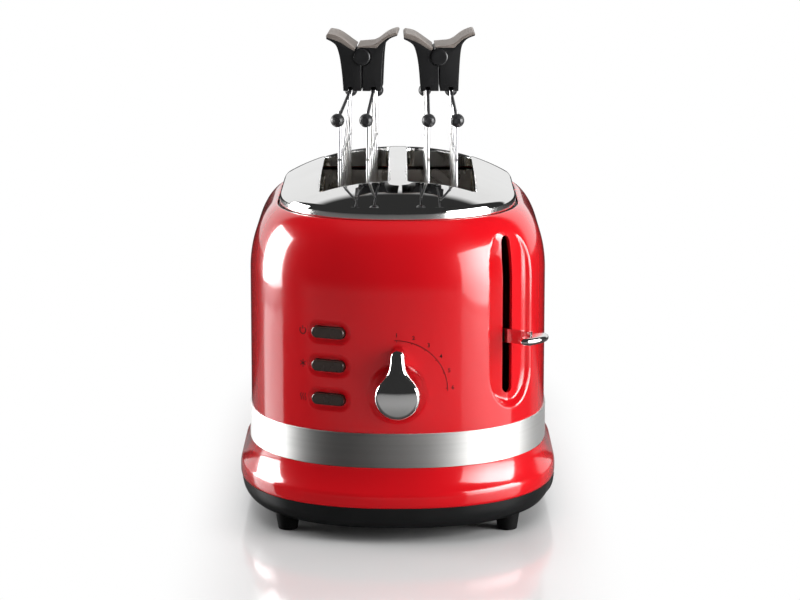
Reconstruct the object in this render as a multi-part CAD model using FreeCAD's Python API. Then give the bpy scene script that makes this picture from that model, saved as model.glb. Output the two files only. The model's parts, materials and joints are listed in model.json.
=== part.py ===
"""Two-slot clamp toaster: rounded case, lever carriage and two sandwich tongs. Millimetres, +Z up."""
import FreeCAD, Part
import math
import os

V = FreeCAD.Vector

# Case outline in plan: straight sides closed by superelliptic ends
case_half_width = 87.6
case_half_length = 124.0
end_depth = 96.0
end_power = 2.3
side_half_length = case_half_length - end_depth

# Case heights
base_bottom_z = 8.0
seam_z = 21.5
band_bottom_z = 44.0
band_top_z = 64.0
shoulder_start_z = 145.0
lip_z = 184.0
crown_z = 205.0

# Shoulder: a quarter ellipse that draws the wall in towards the lip
shoulder_height = 41.0
shoulder_depth = 22.0

# Wall thicknesses
shell_wall = 1.6
base_wall = 2.6
chrome_wall = 1.2
band_wall = 0.8
sheet = 1.2
thin_sheet = 0.8

# Bread slots
slot_inner_x = 5.8
slot_outer_x = 45.2
slot_front_y = -74.5
slot_rear_y = 66.0
slot_corner = 3.0
slot_lane_x = 25.5

# Chassis plates and the cavity between them
front_plate_y = -80.0
rear_plate_y = 72.0
flange_depth = 6.0
chassis_half_width = 57.0
chassis_top_z = 188.0
shield_top_z = 178.0
floor_z = base_bottom_z + base_wall

# Carriage at the pose in the photograph, and its travel
rod_x = 30.0
rod_y = -89.0
rod_radius = 2.0
rod_fit = 0.08
rack_top_z = 72.0
travel_up = 51.0
travel_down = 29.0

# Lever: the slot runs up the middle of the recess on the rounded front right corner
lever_angle = math.radians(51.0)
lever_slot_x = 66.5
lever_z = 115.4
lever_slot_width = 7.0
lever_slot_low_z = 81.6
lever_slot_high_z = 173.4
leg_x = 54.5
leg_width = 4.0
arm_height = 8.0
arm_thickness = 2.4
paddle_reach = 14.8
paddle_length = 24.0
paddle_depth = 11.0
paddle_thickness = 4.2

# Pill-shaped recess round the lever slot
recess_z = 125.1
recess_half_width = 21.0
recess_half_height = 51.2
recess_depth = 3.6

# Browning knob
knob_z = 87.5
knob_radius = 12.8
knob_tip_rise = 26.8
knob_tip_radius = 3.9
knob_depth = 14.0
dish_radius = 16.3
shaft_radius = 3.0

# Buttons
button_x = -39.4
button_angle = math.radians(22.5)
button_heights = {"top": 121.3, "middle": 102.1, "bottom": 82.6}
button_length = 20.1
button_height = 6.6
button_travel = 2.0
button_gap = 0.35

# Crumb tray
tray_half_width = 41.8
tray_low_z = 11.6
tray_high_z = 18.6
tray_front_y = -74.0

# Sandwich tongs: cages hang in the lanes, grips stand above them
cage_half_gap = 8.2
cage_wire = 0.95
cage_ys = [-62.0, -38.0, -14.0, 10.0, 34.0, 58.0]
hanger_ys = [-14.0, 8.0]
cage_low_z = rack_top_z + 0.6
cage_high_z = 212.8
ball_z = 238.1
ball_radius = 4.0
ball_front_y = -82.0
ball_rear_y = 74.0
arm_wire = 0.95
grip_front_y = -23.0
grip_rear_y = 15.0
grip_bottom_z = 248.3
pivot_z = 268.5
knuckle_radius = 5.3
knuckle_fit = 0.35
pivot_pin_radius = 1.6
pin_head_radius = 4.9
tong_lane_x = {"left": -23.7, "right": 25.5}
tong_lean = {"left": 3.05, "right": -1.0}
tong_turn = {"left": -1.8, "right": 0.4}

os.makedirs("parts", exist_ok=True)


def save(name, shape):
    """Write one node and report its volume."""
    solids = shape.Solids
    if not solids or not shape.isValid():
        raise ValueError(name + " is not a valid solid")
    whole = solids[0] if len(solids) == 1 else Part.makeCompound(solids)
    whole.exportStep("parts/" + name + ".step")
    print(name, len(solids), "solid", round(whole.Volume / 1000.0, 2), "cm3")


# Basic solids

def box(x0, x1, y0, y1, z0, z1):
    return Part.makeBox(x1 - x0, y1 - y0, z1 - z0, V(x0, y0, z0))


def rod(start, end, radius):
    start, end = V(*start), V(*end)
    span = end - start
    return Part.makeCylinder(radius, span.Length, start, span)


def ball(centre, radius):
    return Part.makeSphere(radius, V(*centre))


def fuse(shapes):
    shapes = list(shapes)
    return shapes[0].multiFuse(shapes[1:]).removeSplitter()


def mirrored(shape):
    return shape.mirror(V(0, 0, 0), V(1, 0, 0))


def frame_at(point, along, up=V(0, 0, 1)):
    """Placement whose local X lies to the right of the outward direction, Y inward and Z up."""
    inward = V(-along.x, -along.y, 0)
    right = inward.cross(up)
    return FreeCAD.Placement(V(*point), FreeCAD.Rotation(right, inward, up, "XYZ"))


def pill_wire(half_width, half_height, y):
    """Upright rounded slot outline in the local XZ plane at depth y."""
    radius = min(half_width, half_height)
    if half_height >= half_width:
        low, high = -(half_height - radius), half_height - radius
        corners = [V(-radius, y, low), V(0, y, low - radius), V(radius, y, low),
                   V(radius, y, high), V(0, y, high + radius), V(-radius, y, high)]
    else:
        low, high = -(half_width - radius), half_width - radius
        corners = [V(low, y, radius), V(low - radius, y, 0), V(low, y, -radius),
                   V(high, y, -radius), V(high + radius, y, 0), V(high, y, radius)]
    return Part.Wire([Part.Arc(corners[0], corners[1], corners[2]).toShape(),
                      Part.LineSegment(corners[2], corners[3]).toShape(),
                      Part.Arc(corners[3], corners[4], corners[5]).toShape(),
                      Part.LineSegment(corners[5], corners[0]).toShape()])


def pill_prism(half_width, half_height, y0, y1):
    face = Part.Face(pill_wire(half_width, half_height, y0))
    return face.extrude(V(0, y1 - y0, 0))


# Case surfaces

def shoulder(z):
    """Half width of the case at height z."""
    if z <= shoulder_start_z:
        return case_half_width
    rise = (z - shoulder_start_z) / shoulder_height
    return case_half_width - shoulder_depth * (1.0 - math.sqrt(1.0 - rise * rise))


def end_curve(half_width, z, side):
    """One rounded end from side wall to side wall; side is -1 at the front, +1 at the rear."""
    depth = end_depth - (case_half_width - half_width)
    power = 2.0 / end_power
    steps = 8
    points = []
    for k in range(-steps, steps + 1):
        angle = 0.5 * math.pi * k / steps
        across = half_width * math.copysign(abs(math.sin(angle)) ** power, angle)
        along = depth * math.cos(angle) ** power if abs(k) < steps else 0.0
        points.append(V(-side * across, side * (side_half_length + along), z))
    curve = Part.BSplineCurve()
    curve.interpolate(Points=points, InitialTangent=V(0, side, 0), FinalTangent=V(0, -side, 0))
    return curve.toShape()


def plan_wire(half_width, z):
    front = end_curve(half_width, z, -1)
    rear = end_curve(half_width, z, 1)
    right = Part.LineSegment(V(half_width, -side_half_length, z), V(half_width, side_half_length, z))
    left = Part.LineSegment(V(-half_width, side_half_length, z), V(-half_width, -side_half_length, z))
    return Part.Wire([front, right.toShape(), rear, left.toShape()])


def plan_loft(levels, ruled=False):
    """Solid through plan outlines given as (height, half width)."""
    return Part.makeLoft([plan_wire(half_width, z) for z, half_width in levels], True, ruled)


def prism(half_width, z0, z1):
    return Part.Face(plan_wire(half_width, z0)).extrude(V(0, 0, z1 - z0))


def shoulder_levels(inset):
    """Outline levels up the shoulder, evenly spaced along its curve."""
    last = math.asin((lip_z - shoulder_start_z) / shoulder_height)
    steps = 6
    heights = [shoulder_start_z + shoulder_height * math.sin(last * k / steps) for k in range(steps + 1)]
    return [(z, shoulder(z) - inset) for z in heights]


def case_solid(inset):
    """Case volume drawn in by a wall inset; a cutter runs past both ends of the wall."""
    over = 2.0 if inset > 0 else 0.0
    straight = prism(case_half_width - inset, band_bottom_z + 3.0 - over, shoulder_start_z)
    solid = straight.fuse(plan_loft(shoulder_levels(inset)))
    if inset > 0:
        solid = solid.fuse(prism(shoulder(lip_z) - inset, lip_z, lip_z + over))
    return solid


def recess_floor(inset):
    """Volume behind the recess floor, which leans in less than the shoulder and so runs out at its top."""
    follow = 0.45
    levels = [(z, case_half_width - inset - follow * (case_half_width - a)) for z, a in shoulder_levels(0.0)]
    straight = prism(case_half_width - inset, band_bottom_z, shoulder_start_z)
    return straight.fuse(plan_loft(levels))


def corner_frame(x, angle):
    """Local frame on the case surface at x, turned to face out of the front right corner."""
    ratio = (x / case_half_width) ** end_power
    y = -side_half_length - end_depth * (1.0 - ratio) ** (1.0 / end_power)
    return frame_at((x, y, 0), V(math.sin(angle), -math.cos(angle), 0))


def recess_tool(spread):
    """Tapered pill that presses the recess; spread widens it for the metal behind."""
    inner, outer = 9.0, -6.0
    wires = []
    for y in (outer, inner):
        wires.append(pill_wire(recess_half_width - y + spread, recess_half_height - y + spread, y))
    tool = Part.makeLoft(wires, True, True)
    tool.Placement = corner_frame(lever_slot_x, lever_angle)
    tool.translate(V(0, 0, recess_z))
    return tool


def lever_slot_tool():
    half_height = 0.5 * (lever_slot_high_z - lever_slot_low_z)
    tool = pill_prism(0.5 * lever_slot_width, half_height, -8.0, 26.0)
    tool.Placement = corner_frame(lever_slot_x, lever_angle)
    tool.translate(V(0, 0, 0.5 * (lever_slot_high_z + lever_slot_low_z)))
    return tool


def button_frame_placement(z):
    place = corner_frame(abs(button_x), button_angle)
    point = place.Base
    return frame_at((-point.x, point.y, z), V(-math.sin(button_angle), -math.cos(button_angle), 0))


def button_prism(half_width, half_height, y0, y1, z):
    tool = pill_prism(half_width, half_height, y0, y1)
    tool.Placement = button_frame_placement(z)
    return tool


def body_shell():
    outer = case_solid(0.0)
    inner = case_solid(shell_wall)
    floor = recess_floor(recess_depth)
    behind = recess_floor(recess_depth + shell_wall)
    lever_metal = recess_tool(2.2).cut(behind)
    dish_metal = rod((0, -140, knob_z), (0, -case_half_length + 3.6, knob_z), dish_radius + 2.0)
    cavity = inner.cut(lever_metal).cut(dish_metal)
    shell = outer.cut(cavity)
    shell = shell.cut(recess_tool(0.0).cut(floor))
    shell = shell.cut(lever_slot_tool())
    dish = rod((0, -140, knob_z), (0, -case_half_length + 1.3, knob_z), dish_radius)
    shaft_hole = rod((0, -140, knob_z), (0, -100, knob_z), shaft_radius + 0.4)
    shell = shell.cut(dish).cut(shaft_hole)
    for z in button_heights.values():
        half_width = 0.5 * button_length + button_gap
        half_height = 0.5 * button_height + button_gap
        shell = shell.cut(button_prism(half_width, half_height, -8.0, 14.0, z))
    return shell


def metal_band():
    outer = prism(case_half_width + 0.05 + band_wall, band_bottom_z, band_top_z)
    return outer.cut(prism(case_half_width + 0.05, band_bottom_z - 1.0, band_top_z + 1.0))


def skirt():
    flare = [(seam_z, 93.8), (23.0, 94.3), (26.0, 94.4), (29.0, 93.9), (33.0, 92.5),
             (38.0, 90.5), (41.5, 89.2), (band_bottom_z, 88.4)]
    outer = plan_loft(flare)
    inner_levels = [(z, half_width - 2.2) for z, half_width in flare]
    inner_levels[0] = (seam_z - 1.0, inner_levels[0][1])
    inner_levels[-1] = (band_bottom_z + 1.0, inner_levels[-1][1])
    spigot_top = band_bottom_z + 3.0
    spigot = prism(case_half_width - 0.05, band_bottom_z - 0.6, spigot_top)
    bore = prism(case_half_width - shell_wall - 0.6, seam_z, spigot_top + 1.0)
    walls = outer.fuse(spigot).cut(plan_loft(inner_levels)).cut(bore)
    return walls.cut(inlet_tool(inlet_radius, -12.0, 12.0))


base_levels = [(base_bottom_z, 85.5), (8.8, 87.6), (10.6, 89.8), (13.4, 91.8), (17.4, 93.2), (seam_z, 93.8)]


def base_solid(inset):
    return plan_loft([(z, half_width - inset) for z, half_width in base_levels])


def tray_window():
    return box(-tray_half_width - 0.5, tray_half_width + 0.5, 60.0, 150.0,
               tray_low_z - 0.4, tray_high_z + 0.5)


def base_tray():
    cavity = plan_loft([(floor_z, 86.6), (13.4, 89.0), (17.4, 90.5), (seam_z + 1.0, 91.2)])
    return base_solid(0.0).cut(cavity).cut(tray_window()).cut(screw_holes())


def foot(x, y):
    cone = Part.makeCone(5.6, 7.2, 10.0, V(x, y, 0))
    cone = cone.makeFillet(0.8, [e for e in cone.Edges if e.Closed and e.BoundBox.ZMax < 1.0])
    return cone.cut(base_solid(0.0))


feet_places = [(x, y) for x in (-64.0, 64.0) for y in (-92.0, 92.0)]


def feet():
    return Part.makeCompound([foot(x, y) for x, y in feet_places])


screw_places = [(x, y) for x in (-50.0, 50.0) for y in (front_plate_y + 3.5, rear_plate_y - 3.0)]
screw_radius = 1.5


def screw_holes():
    return Part.makeCompound([rod((x, y, 0), (x, y, 20), screw_radius) for x, y in screw_places])


def screws():
    """Pan-head screws that come up through the base floor into the chassis flanges."""
    solids = []
    for x, y in screw_places:
        head = rod((x, y, base_bottom_z - 1.8), (x, y, base_bottom_z), 3.2)
        shank = rod((x, y, base_bottom_z), (x, y, floor_z + 3.0), screw_radius)
        low = base_bottom_z - 2.0
        cross = fuse([box(x - 2, x + 2, y - 0.4, y + 0.4, low, low + 1.1),
                      box(x - 0.4, x + 0.4, y - 2, y + 2, low, low + 1.1)])
        solids.append(fuse([head, shank]).cut(cross))
    return Part.makeCompound(solids)


# Chrome top

rim_half_width = 69.9
rim_low_z = 182.8
rim_high_z = 187.6
dome_edge = 68.6


def dome_z(half_width):
    """Height of the domed lid where its outline has this half width."""
    return crown_z + 0.3 - 15.65 * (half_width / 70.0) ** 2.64


def dome_solid(drop):
    rim = prism(rim_half_width - drop, rim_low_z - 3.0 * drop, rim_high_z - drop)
    edge_z = dome_z(dome_edge)
    round_over = plan_loft([(rim_high_z - drop, rim_half_width - drop),
                            (rim_high_z + 1.4 - drop, rim_half_width - 0.4 - drop),
                            (edge_z - drop, dome_edge - drop)], True)
    steps = 7
    outlines = [dome_edge + (13.0 - dome_edge) * k / steps for k in range(steps + 1)]
    lid = plan_loft([(dome_z(a) - drop, a - drop) for a in outlines])
    return rim.fuse(round_over).fuse(lid)


def slot_prism(side, grow, z0, z1):
    x0, x1 = sorted((side * slot_inner_x, side * slot_outer_x))
    block = box(x0 - grow, x1 + grow, slot_front_y - grow, slot_rear_y + grow, z0, z1)
    edges = [e for e in block.Edges if abs(e.Vertexes[0].Z - e.Vertexes[1].Z) > 1.0]
    return block.makeFillet(slot_corner + grow, edges)


def chrome_top():
    hollow = dome_solid(chrome_wall)
    for side in (-1, 1):
        hollow = hollow.cut(slot_prism(side, chrome_wall, 191.0, 215.0))
    top = dome_solid(0.0).cut(hollow)
    for side in (-1, 1):
        top = top.cut(slot_prism(side, 0.0, 170.0, 220.0))
    return top


def top_gasket():
    outer = prism(shoulder(lip_z) - shell_wall - 0.2, rim_low_z - 2.8, rim_low_z)
    return outer.cut(prism(rim_half_width - 4.0, rim_low_z - 4.0, rim_low_z + 1.0))


# Chassis

def top_corners():
    """Notches that keep the plates clear of the rounded lip."""
    return Part.makeCompound([box(x, x + 20, -150, 150, shield_top_z - 2, chassis_top_z + 1)
                              for x in (-70.0, 50.0)])


def front_chassis():
    plate = box(-chassis_half_width, chassis_half_width, front_plate_y, front_plate_y + sheet,
                floor_z, chassis_top_z)
    flange = box(-34, 34, rod_y - 6.5, front_plate_y, chassis_top_z - sheet, chassis_top_z)
    foot_flange = box(-56, 56, front_plate_y, front_plate_y + flange_depth, floor_z, floor_z + sheet)
    plate = fuse([plate, flange, foot_flange]).cut(screw_holes()).cut(top_corners())
    for side in (-1, 1):
        x = side * slot_lane_x
        plate = plate.cut(box(x - 4, x + 4, front_plate_y - 1, front_plate_y + 3,
                              rack_top_z - travel_down - 12, rack_top_z + travel_up + 4))
    return plate


def rear_chassis():
    plate = box(-chassis_half_width, chassis_half_width, rear_plate_y, rear_plate_y + sheet,
                floor_z, chassis_top_z)
    flange = box(-50, 50, rear_plate_y + sheet, rear_plate_y + 10, chassis_top_z - sheet, chassis_top_z)
    tabs = [box(x, x + 10, rear_plate_y - flange_depth, rear_plate_y, floor_z, floor_z + sheet)
            for x in (-55.0, 45.0)]
    plate = fuse([plate, flange] + tabs).cut(screw_holes()).cut(top_corners())
    for side in (-1, 1):
        x = side * slot_lane_x
        plate = plate.cut(box(x - 3, x + 3, rear_plate_y - 1, rear_plate_y + 3,
                              rack_top_z - travel_down - 8, rack_top_z + travel_up + 2))
    return plate.cut(box(-tray_half_width - 1, tray_half_width + 1, rear_plate_y - 1, rear_plate_y + 3,
                         0, tray_high_z + 1.5))


def heat_shield(side):
    x0, x1 = sorted((side * (chassis_half_width - thin_sheet), side * chassis_half_width))
    plate = box(x0, x1, front_plate_y + sheet, rear_plate_y, 26.0, shield_top_z - 2)
    for z in (60.0, 100.0, 140.0):
        slots = [box(x0 - 1, x1 + 1, y, y + 16, z, z + 4) for y in range(-60, 60, 26)]
        for slot in slots:
            plate = plate.cut(slot)
    return plate


heater_low_z = 66.0
heater_high_z = 186.0
heater_xs = [-50.0, 0.0, 50.0]


def heater_boards():
    boards = []
    for x in heater_xs:
        boards.append(box(x - 0.5, x + 0.5, front_plate_y + sheet, rear_plate_y,
                          heater_low_z, heater_high_z))
    return Part.makeCompound(boards)


def heater_winding(x_face, outward):
    """Flat resistance ribbon that runs back and forth over one face of a heater board."""
    rows, pitch, tall, thick = 8, 14.0, 1.6, 0.4
    x0, x1 = sorted((x_face, x_face + outward * thick))
    front, rear, low = -68.0, 60.0, heater_low_z + 10
    pieces = []
    for row in range(rows):
        z = low + row * pitch
        pieces.append(box(x0, x1, front, rear, z, z + tall))
        if row < rows - 1:
            y = rear - tall if row % 2 == 0 else front
            pieces.append(box(x0, x1, y, y + tall, z, z + pitch + tall))
    return fuse(pieces)


def heating_wires():
    left, centre, right = heater_xs
    return Part.makeCompound([heater_winding(left + 0.5, 1), heater_winding(centre - 0.5, -1),
                              heater_winding(centre + 0.5, 1), heater_winding(right - 0.5, -1)])


def guard(x):
    """Bread guard: upright wires on two rails between the chassis plates."""
    wire = 0.8
    ys = [-66.0 + 21.0 * k for k in range(7)]
    uprights = [rod((x, y, 58), (x, y, 189), wire) for y in ys]
    ends = (front_plate_y + sheet, rear_plate_y)
    rails = [rod((x, ends[0], z), (x, ends[1], z), wire) for z in (62.0, 124.0, 185.0)]
    return fuse(uprights + rails)


def bread_guards(side):
    return Part.makeCompound([guard(side * 4.3), guard(side * 46.4)])


# Carriage

def guide_rods():
    top = chassis_top_z - sheet
    return Part.makeCompound([rod((x, rod_y, floor_z), (x, rod_y, top), rod_radius)
                              for x in (-rod_x, rod_x)])


bush_low_z = rack_top_z - 14
bush_high_z = rack_top_z + 4


def carriage_plate():
    """Bar with two guide bushes and a finger that reaches into each bread lane."""
    bar = box(-rod_x - 2, leg_x, rod_y - 2, rod_y + 2, rack_top_z - 12, rack_top_z)
    parts = [bar]
    for x in (-rod_x, rod_x):
        parts.append(rod((x, rod_y, bush_low_z), (x, rod_y, bush_high_z), 4.2))
    for side in (-1, 1):
        x = side * slot_lane_x
        parts.append(box(x - 2, x + 2, rod_y + 1, front_plate_y + 3.2, rack_top_z - 8, rack_top_z - 2))
    plate = fuse(parts)
    for x in (-rod_x, rod_x):
        plate = plate.cut(rod((x, rod_y, 0), (x, rod_y, 200), rod_radius + rod_fit))
    return plate


def bread_rack(side):
    """Long bar in one lane with cross wires that carry the slice."""
    x = side * slot_lane_x
    start = front_plate_y + 3.2
    parts = [box(x - 1.5, x + 1.5, start, rear_plate_y + 3, rack_top_z - 8, rack_top_z - 2)]
    for k in range(7):
        y = -66.0 + 21.0 * k
        parts.append(rod((x - 14, y, rack_top_z - 1.2), (x + 14, y, rack_top_z - 1.2), 1.2))
    return fuse(parts)


def lever_place(z):
    place = corner_frame(lever_slot_x, lever_angle)
    return FreeCAD.Placement(V(place.Base.x, place.Base.y, z), place.Rotation)


def lever_arm():
    """Upright leg on the carriage bar and a strip out through the slot."""
    strip = box(-0.5 * arm_thickness, 0.5 * arm_thickness, -paddle_reach + 2.0, 14.0,
                -0.5 * arm_height, 0.5 * arm_height)
    strip.Placement = lever_place(lever_z)
    leg = box(leg_x, leg_x + leg_width, rod_y - 0.5, rod_y + 3.0, rack_top_z - 12, lever_z + 0.5 * arm_height)
    return fuse([strip, leg])


def lever_handle():
    """Flat oval finger pad set across the end of the arm."""
    half_length, half_depth = 0.5 * paddle_length, 0.5 * paddle_depth
    oval = Part.Ellipse(V(0, 0, 0), half_length, half_depth)
    pad = Part.Face(Part.Wire(oval.toShape())).extrude(V(0, 0, paddle_thickness))
    pad = pad.makeFillet(0.46 * paddle_thickness, [e for e in pad.Edges if e.Closed])
    pad.translate(V(0, -paddle_reach, -0.5 * paddle_thickness))
    pad.Placement = lever_place(lever_z).multiply(pad.Placement)
    return pad.cut(lever_arm())


def latch_plate():
    z = rack_top_z - 12
    return box(-9, 9, rod_y - 5, rod_y + 5, z - 1.6, z)


def return_spring():
    """Helix round the left guide rod, from the base floor to the bush."""
    turns, wire, radius = 9, 0.55, 3.3
    low, high = floor_z + 0.6, bush_low_z - 0.6
    helix = Part.makeHelix((high - low) / turns, high - low, radius)
    start = V(radius, 0, 0)
    pitch_angle = math.atan2((high - low) / turns, 2 * math.pi * radius)
    direction = V(0, math.cos(pitch_angle), math.sin(pitch_angle))
    circle = Part.Wire(Part.Circle(start, direction, wire).toShape())
    coil = Part.Wire(helix).makePipeShell([circle], True, True)
    coil.translate(V(-rod_x, rod_y, low))
    return coil


def electromagnet():
    top = rack_top_z - 12 - 1.6 - travel_down - 0.4
    core = box(-5, 5, rod_y - 3.5, rod_y + 3.5, floor_z, top)
    coil = box(-8.5, 8.5, rod_y - 6, rod_y + 6, floor_z + 3, top - 3)
    return fuse([core, coil])


# Controls

def circuit_board():
    board = box(-26, 40, -99.6, -98.0, 34, 136)
    legs = [box(x, x + 5, -99.6, -98.0, floor_z, 34) for x in (-24.0, 33.0)]
    return fuse([board] + legs)


def potentiometer():
    can = rod((0, -112, knob_z), (0, -99.6, knob_z), 8.5)
    collar = rod((0, -116, knob_z), (0, -112, knob_z), 4.6)
    pot = fuse([can, collar])
    return pot.cut(rod((0, -120, knob_z), (0, -104, knob_z), shaft_radius + 0.06))


def knob_outline(y):
    """Teardrop: round bowl, hollow flanks and a small round tip."""
    tip_z = knob_z + knob_tip_rise - knob_tip_radius
    flank_angle = math.radians(38.0)
    left_low = V(-knob_radius * math.cos(flank_angle), y, knob_z + knob_radius * math.sin(flank_angle))
    right_low = V(-left_low.x, y, left_low.z)
    left_high = V(-knob_tip_radius, y, tip_z)
    right_high = V(knob_tip_radius, y, tip_z)
    bend = 0.56
    left_mid = V(left_low.x * (1 - bend) + left_high.x * bend + 1.5, y,
                 left_low.z * (1 - bend) + left_high.z * bend - 1.5)
    right_mid = V(-left_mid.x, y, left_mid.z)
    return Part.Wire([Part.Arc(left_low, V(0, y, knob_z - knob_radius), right_low).toShape(),
                      Part.Arc(right_low, right_mid, right_high).toShape(),
                      Part.Arc(right_high, V(0, y, tip_z + knob_tip_radius), left_high).toShape(),
                      Part.Arc(left_high, left_mid, left_low).toShape()])


knob_back_y = -case_half_length - 0.6


def browning_knob():
    front_y = knob_back_y - knob_depth
    body = Part.Face(knob_outline(knob_back_y)).extrude(V(0, -knob_depth, 0))
    edges = [e for e in body.Edges if all(abs(v.Y - front_y) < 0.01 for v in e.Vertexes)]
    body = body.makeFillet(3.2, edges)
    return body.cut(rod((0, knob_back_y + 1, knob_z), (0, knob_back_y - 8, knob_z), shaft_radius))


def knob_shaft():
    return rod((0, knob_back_y - 8, knob_z), (0, -104.5, knob_z), shaft_radius)


def button(z):
    """Pill cap through the shell, retaining flange behind it and a push stem."""
    front, flange_front = -1.6, 8.0
    flange_rear = flange_front + 1.4
    overhang = 1.4
    cap = pill_prism(0.5 * button_length, 0.5 * button_height, front, flange_rear)
    rim = [e for e in cap.Edges if all(abs(v.Y - front) < 0.01 for v in e.Vertexes)]
    cap = cap.makeFillet(1.0, rim)
    flange = pill_prism(0.5 * button_length + overhang, 0.5 * button_height + overhang,
                        flange_front, flange_rear)
    stem = rod((0, flange_front + 1.0, 0), (0, 12.0, 0), 1.6)
    whole = fuse([cap, flange, stem])
    whole.Placement = button_frame_placement(z)
    return whole


def button_guide():
    """Moulded guide plate behind the shell that holds the three caps upright."""
    lows = min(button_heights.values()) - 10
    highs = max(button_heights.values()) + 10
    plate = box(-14.5, 14.5, 5.4, 7.0, lows, highs)
    posts = [box(x, x + 3, 7.0, 17.6, z, z + 3) for x in (-14.5, 11.5) for z in (lows, highs - 3)]
    guide = fuse([plate] + posts)
    guide.Placement = button_frame_placement(0)
    for z in button_heights.values():
        guide = guide.cut(button_prism(0.5 * button_length + button_gap, 0.5 * button_height + button_gap,
                                       0.0, 9.0, z))
    return guide


def button_switches():
    """Switch board behind the caps with one push switch for each."""
    lows = min(button_heights.values()) - 10
    highs = max(button_heights.values()) + 10
    board = box(-14.5, 14.5, 17.6, 18.6, lows, highs)
    switches = [box(-3, 3, 12.0 + button_travel + 0.4, 17.6, z - 3, z + 3) for z in button_heights.values()]
    whole = fuse([board] + switches)
    whole.Placement = button_frame_placement(0)
    return whole


def terminal_block():
    return box(-62, -50, 78, 90, floor_z, floor_z + 12)


inlet_radius = 5.6
inlet_bore = 3.4


def inlet_tool(radius, y0, y1):
    """Cylinder along the supply inlet; local y runs inward from the skirt surface."""
    tool = rod((0, y0, 0), (0, y1, 0), radius)
    half_width = 92.5
    x, z = -34.0, 33.0
    y = side_half_length + (end_depth - case_half_width + half_width) * (
        1.0 - (abs(x) / half_width) ** end_power) ** (1.0 / end_power)
    angle = math.radians(15.0)
    tool.Placement = frame_at((x, y, z), V(-math.sin(angle), math.cos(angle), 0))
    return tool


def cord_inlet():
    """Rubber gland in the rear of the skirt where the supply lead enters."""
    gland = fuse([inlet_tool(inlet_radius, -7.0, 9.0), inlet_tool(7.6, 6.0, 9.0)])
    return gland.cut(inlet_tool(inlet_bore, -8.0, 10.0))


def crumb_tray():
    """Shallow drawer whose rear wall closes the window in the base."""
    block = box(-tray_half_width, tray_half_width, tray_front_y, 150.0, tray_low_z, tray_high_z)
    hollow = box(-tray_half_width + 1.0, tray_half_width - 1.0, tray_front_y + 1.0, 150.0,
                 tray_low_z + 0.9, tray_high_z + 1.0)
    return block.common(base_solid(0.0)).cut(hollow.common(base_solid(3.0)))


def tray_handle():
    """Finger bar on the rear wall of the tray."""
    rear_y = side_half_length + end_depth + 4.0
    grip = box(-19.0, 19.0, rear_y, rear_y + 9.0, 12.4, 17.8)
    edges = [e for e in grip.Edges if all(v.Y > rear_y + 5 for v in e.Vertexes)]
    grip = grip.makeFillet(1.6, edges)
    notch = box(-14.0, 14.0, rear_y - 1.0, rear_y + 6.0, 11.0, 15.0)
    return grip.cut(notch).cut(base_solid(0.0))


# Sandwich tongs, drawn round x = 0 for the outer half and mirrored for the inner one

def tong_place(side_name):
    turn = FreeCAD.Rotation(V(0, 0, 1), tong_turn[side_name])
    return FreeCAD.Placement(V(tong_lane_x[side_name], -4.0, 0), turn)


def local_y(y):
    return y + 4.0


split_x = -0.35
flank = {"left": [(-11.0, grip_bottom_z), (-11.7, 257.5), (-12.9, 267.0), (-14.2, 272.6), (-15.6, 275.6)],
         "right": [(-11.3, grip_bottom_z), (-11.7, 258.0), (-12.2, 267.0), (-12.8, 272.7), (-13.8, 276.3)]}
wing_bend = {"left": (-17.8, 277.4), "right": (-16.6, 279.3)}
wing_tip = {"left": (-21.0, 279.0), "right": (-20.9, 281.1)}
wing_top = {"left": (-21.1, 280.0), "right": (-21.1, 281.8)}
saddle = {"left": [wing_top["left"], (-17.6, 278.9), (-12.8, 277.0), (-9.9, 275.2), (-6.9, 273.4),
                   (-4.7, 272.2)],
          "right": [wing_top["right"], (-17.8, 280.7), (-15.0, 279.5), (-12.1, 277.3), (-8.8, 273.9)]}
pad_nose = {"left": (-21.0, 281.3), "right": (-20.9, 282.5)}
pad_crest = {"left": [(-19.6, 282.3), (-15.9, 281.6), (-12.9, 280.2), (-9.9, 278.2), (-6.9, 276.0),
                      (-3.7, 273.7)],
             "right": [(-20.0, 283.0), (-17.8, 282.4), (-15.0, 281.2), (-12.1, 279.3), (-9.4, 277.2),
                       (-6.4, 275.7), (-2.0, 275.2), (2.7, 274.8)]}
pad_floor_z = 273.9


def spline(points):
    curve = Part.BSplineCurve()
    curve.interpolate(Points=[V(x, 0, z) for x, z in points])
    return curve.toShape()


def line(start, end):
    return Part.LineSegment(V(start[0], 0, start[1]), V(end[0], 0, end[1])).toShape()


def arc(start, middle, end):
    return Part.Arc(V(start[0], 0, start[1]), V(middle[0], 0, middle[1]), V(end[0], 0, end[1])).toShape()


def grip_outline(kind):
    """Half grip seen from the front: split face, flared flank, wing and the saddle under the pad."""
    inner_top = (split_x, pivot_z if kind == "left" else pad_floor_z)
    side_curve = flank[kind]
    wing_low = arc(side_curve[-1], wing_bend[kind], wing_tip[kind])
    return Part.Wire([line((split_x, grip_bottom_z), side_curve[0]), spline(side_curve), wing_low,
                      line(wing_tip[kind], wing_top[kind]), spline(saddle[kind]),
                      line(saddle[kind][-1], inner_top), line(inner_top, (split_x, grip_bottom_z))])


def pad_outline(kind):
    """Soft pad along the wing; the right one carries on over the pivot."""
    crest = pad_crest[kind]
    edges = [spline(saddle[kind])]
    end = saddle[kind][-1]
    if kind == "right":
        edges.append(line(end, (crest[-1][0], pad_floor_z)))
        end = (crest[-1][0], pad_floor_z)
    edges.append(line(end, crest[-1]))
    return Part.Wire(edges + [spline(crest[::-1]), arc(crest[0], pad_nose[kind], wing_top[kind])])


def extruded(wire, y0, y1):
    face = Part.Face(wire)
    face.translate(V(0, y0, 0))
    return face.extrude(V(0, y1 - y0, 0))


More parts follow.
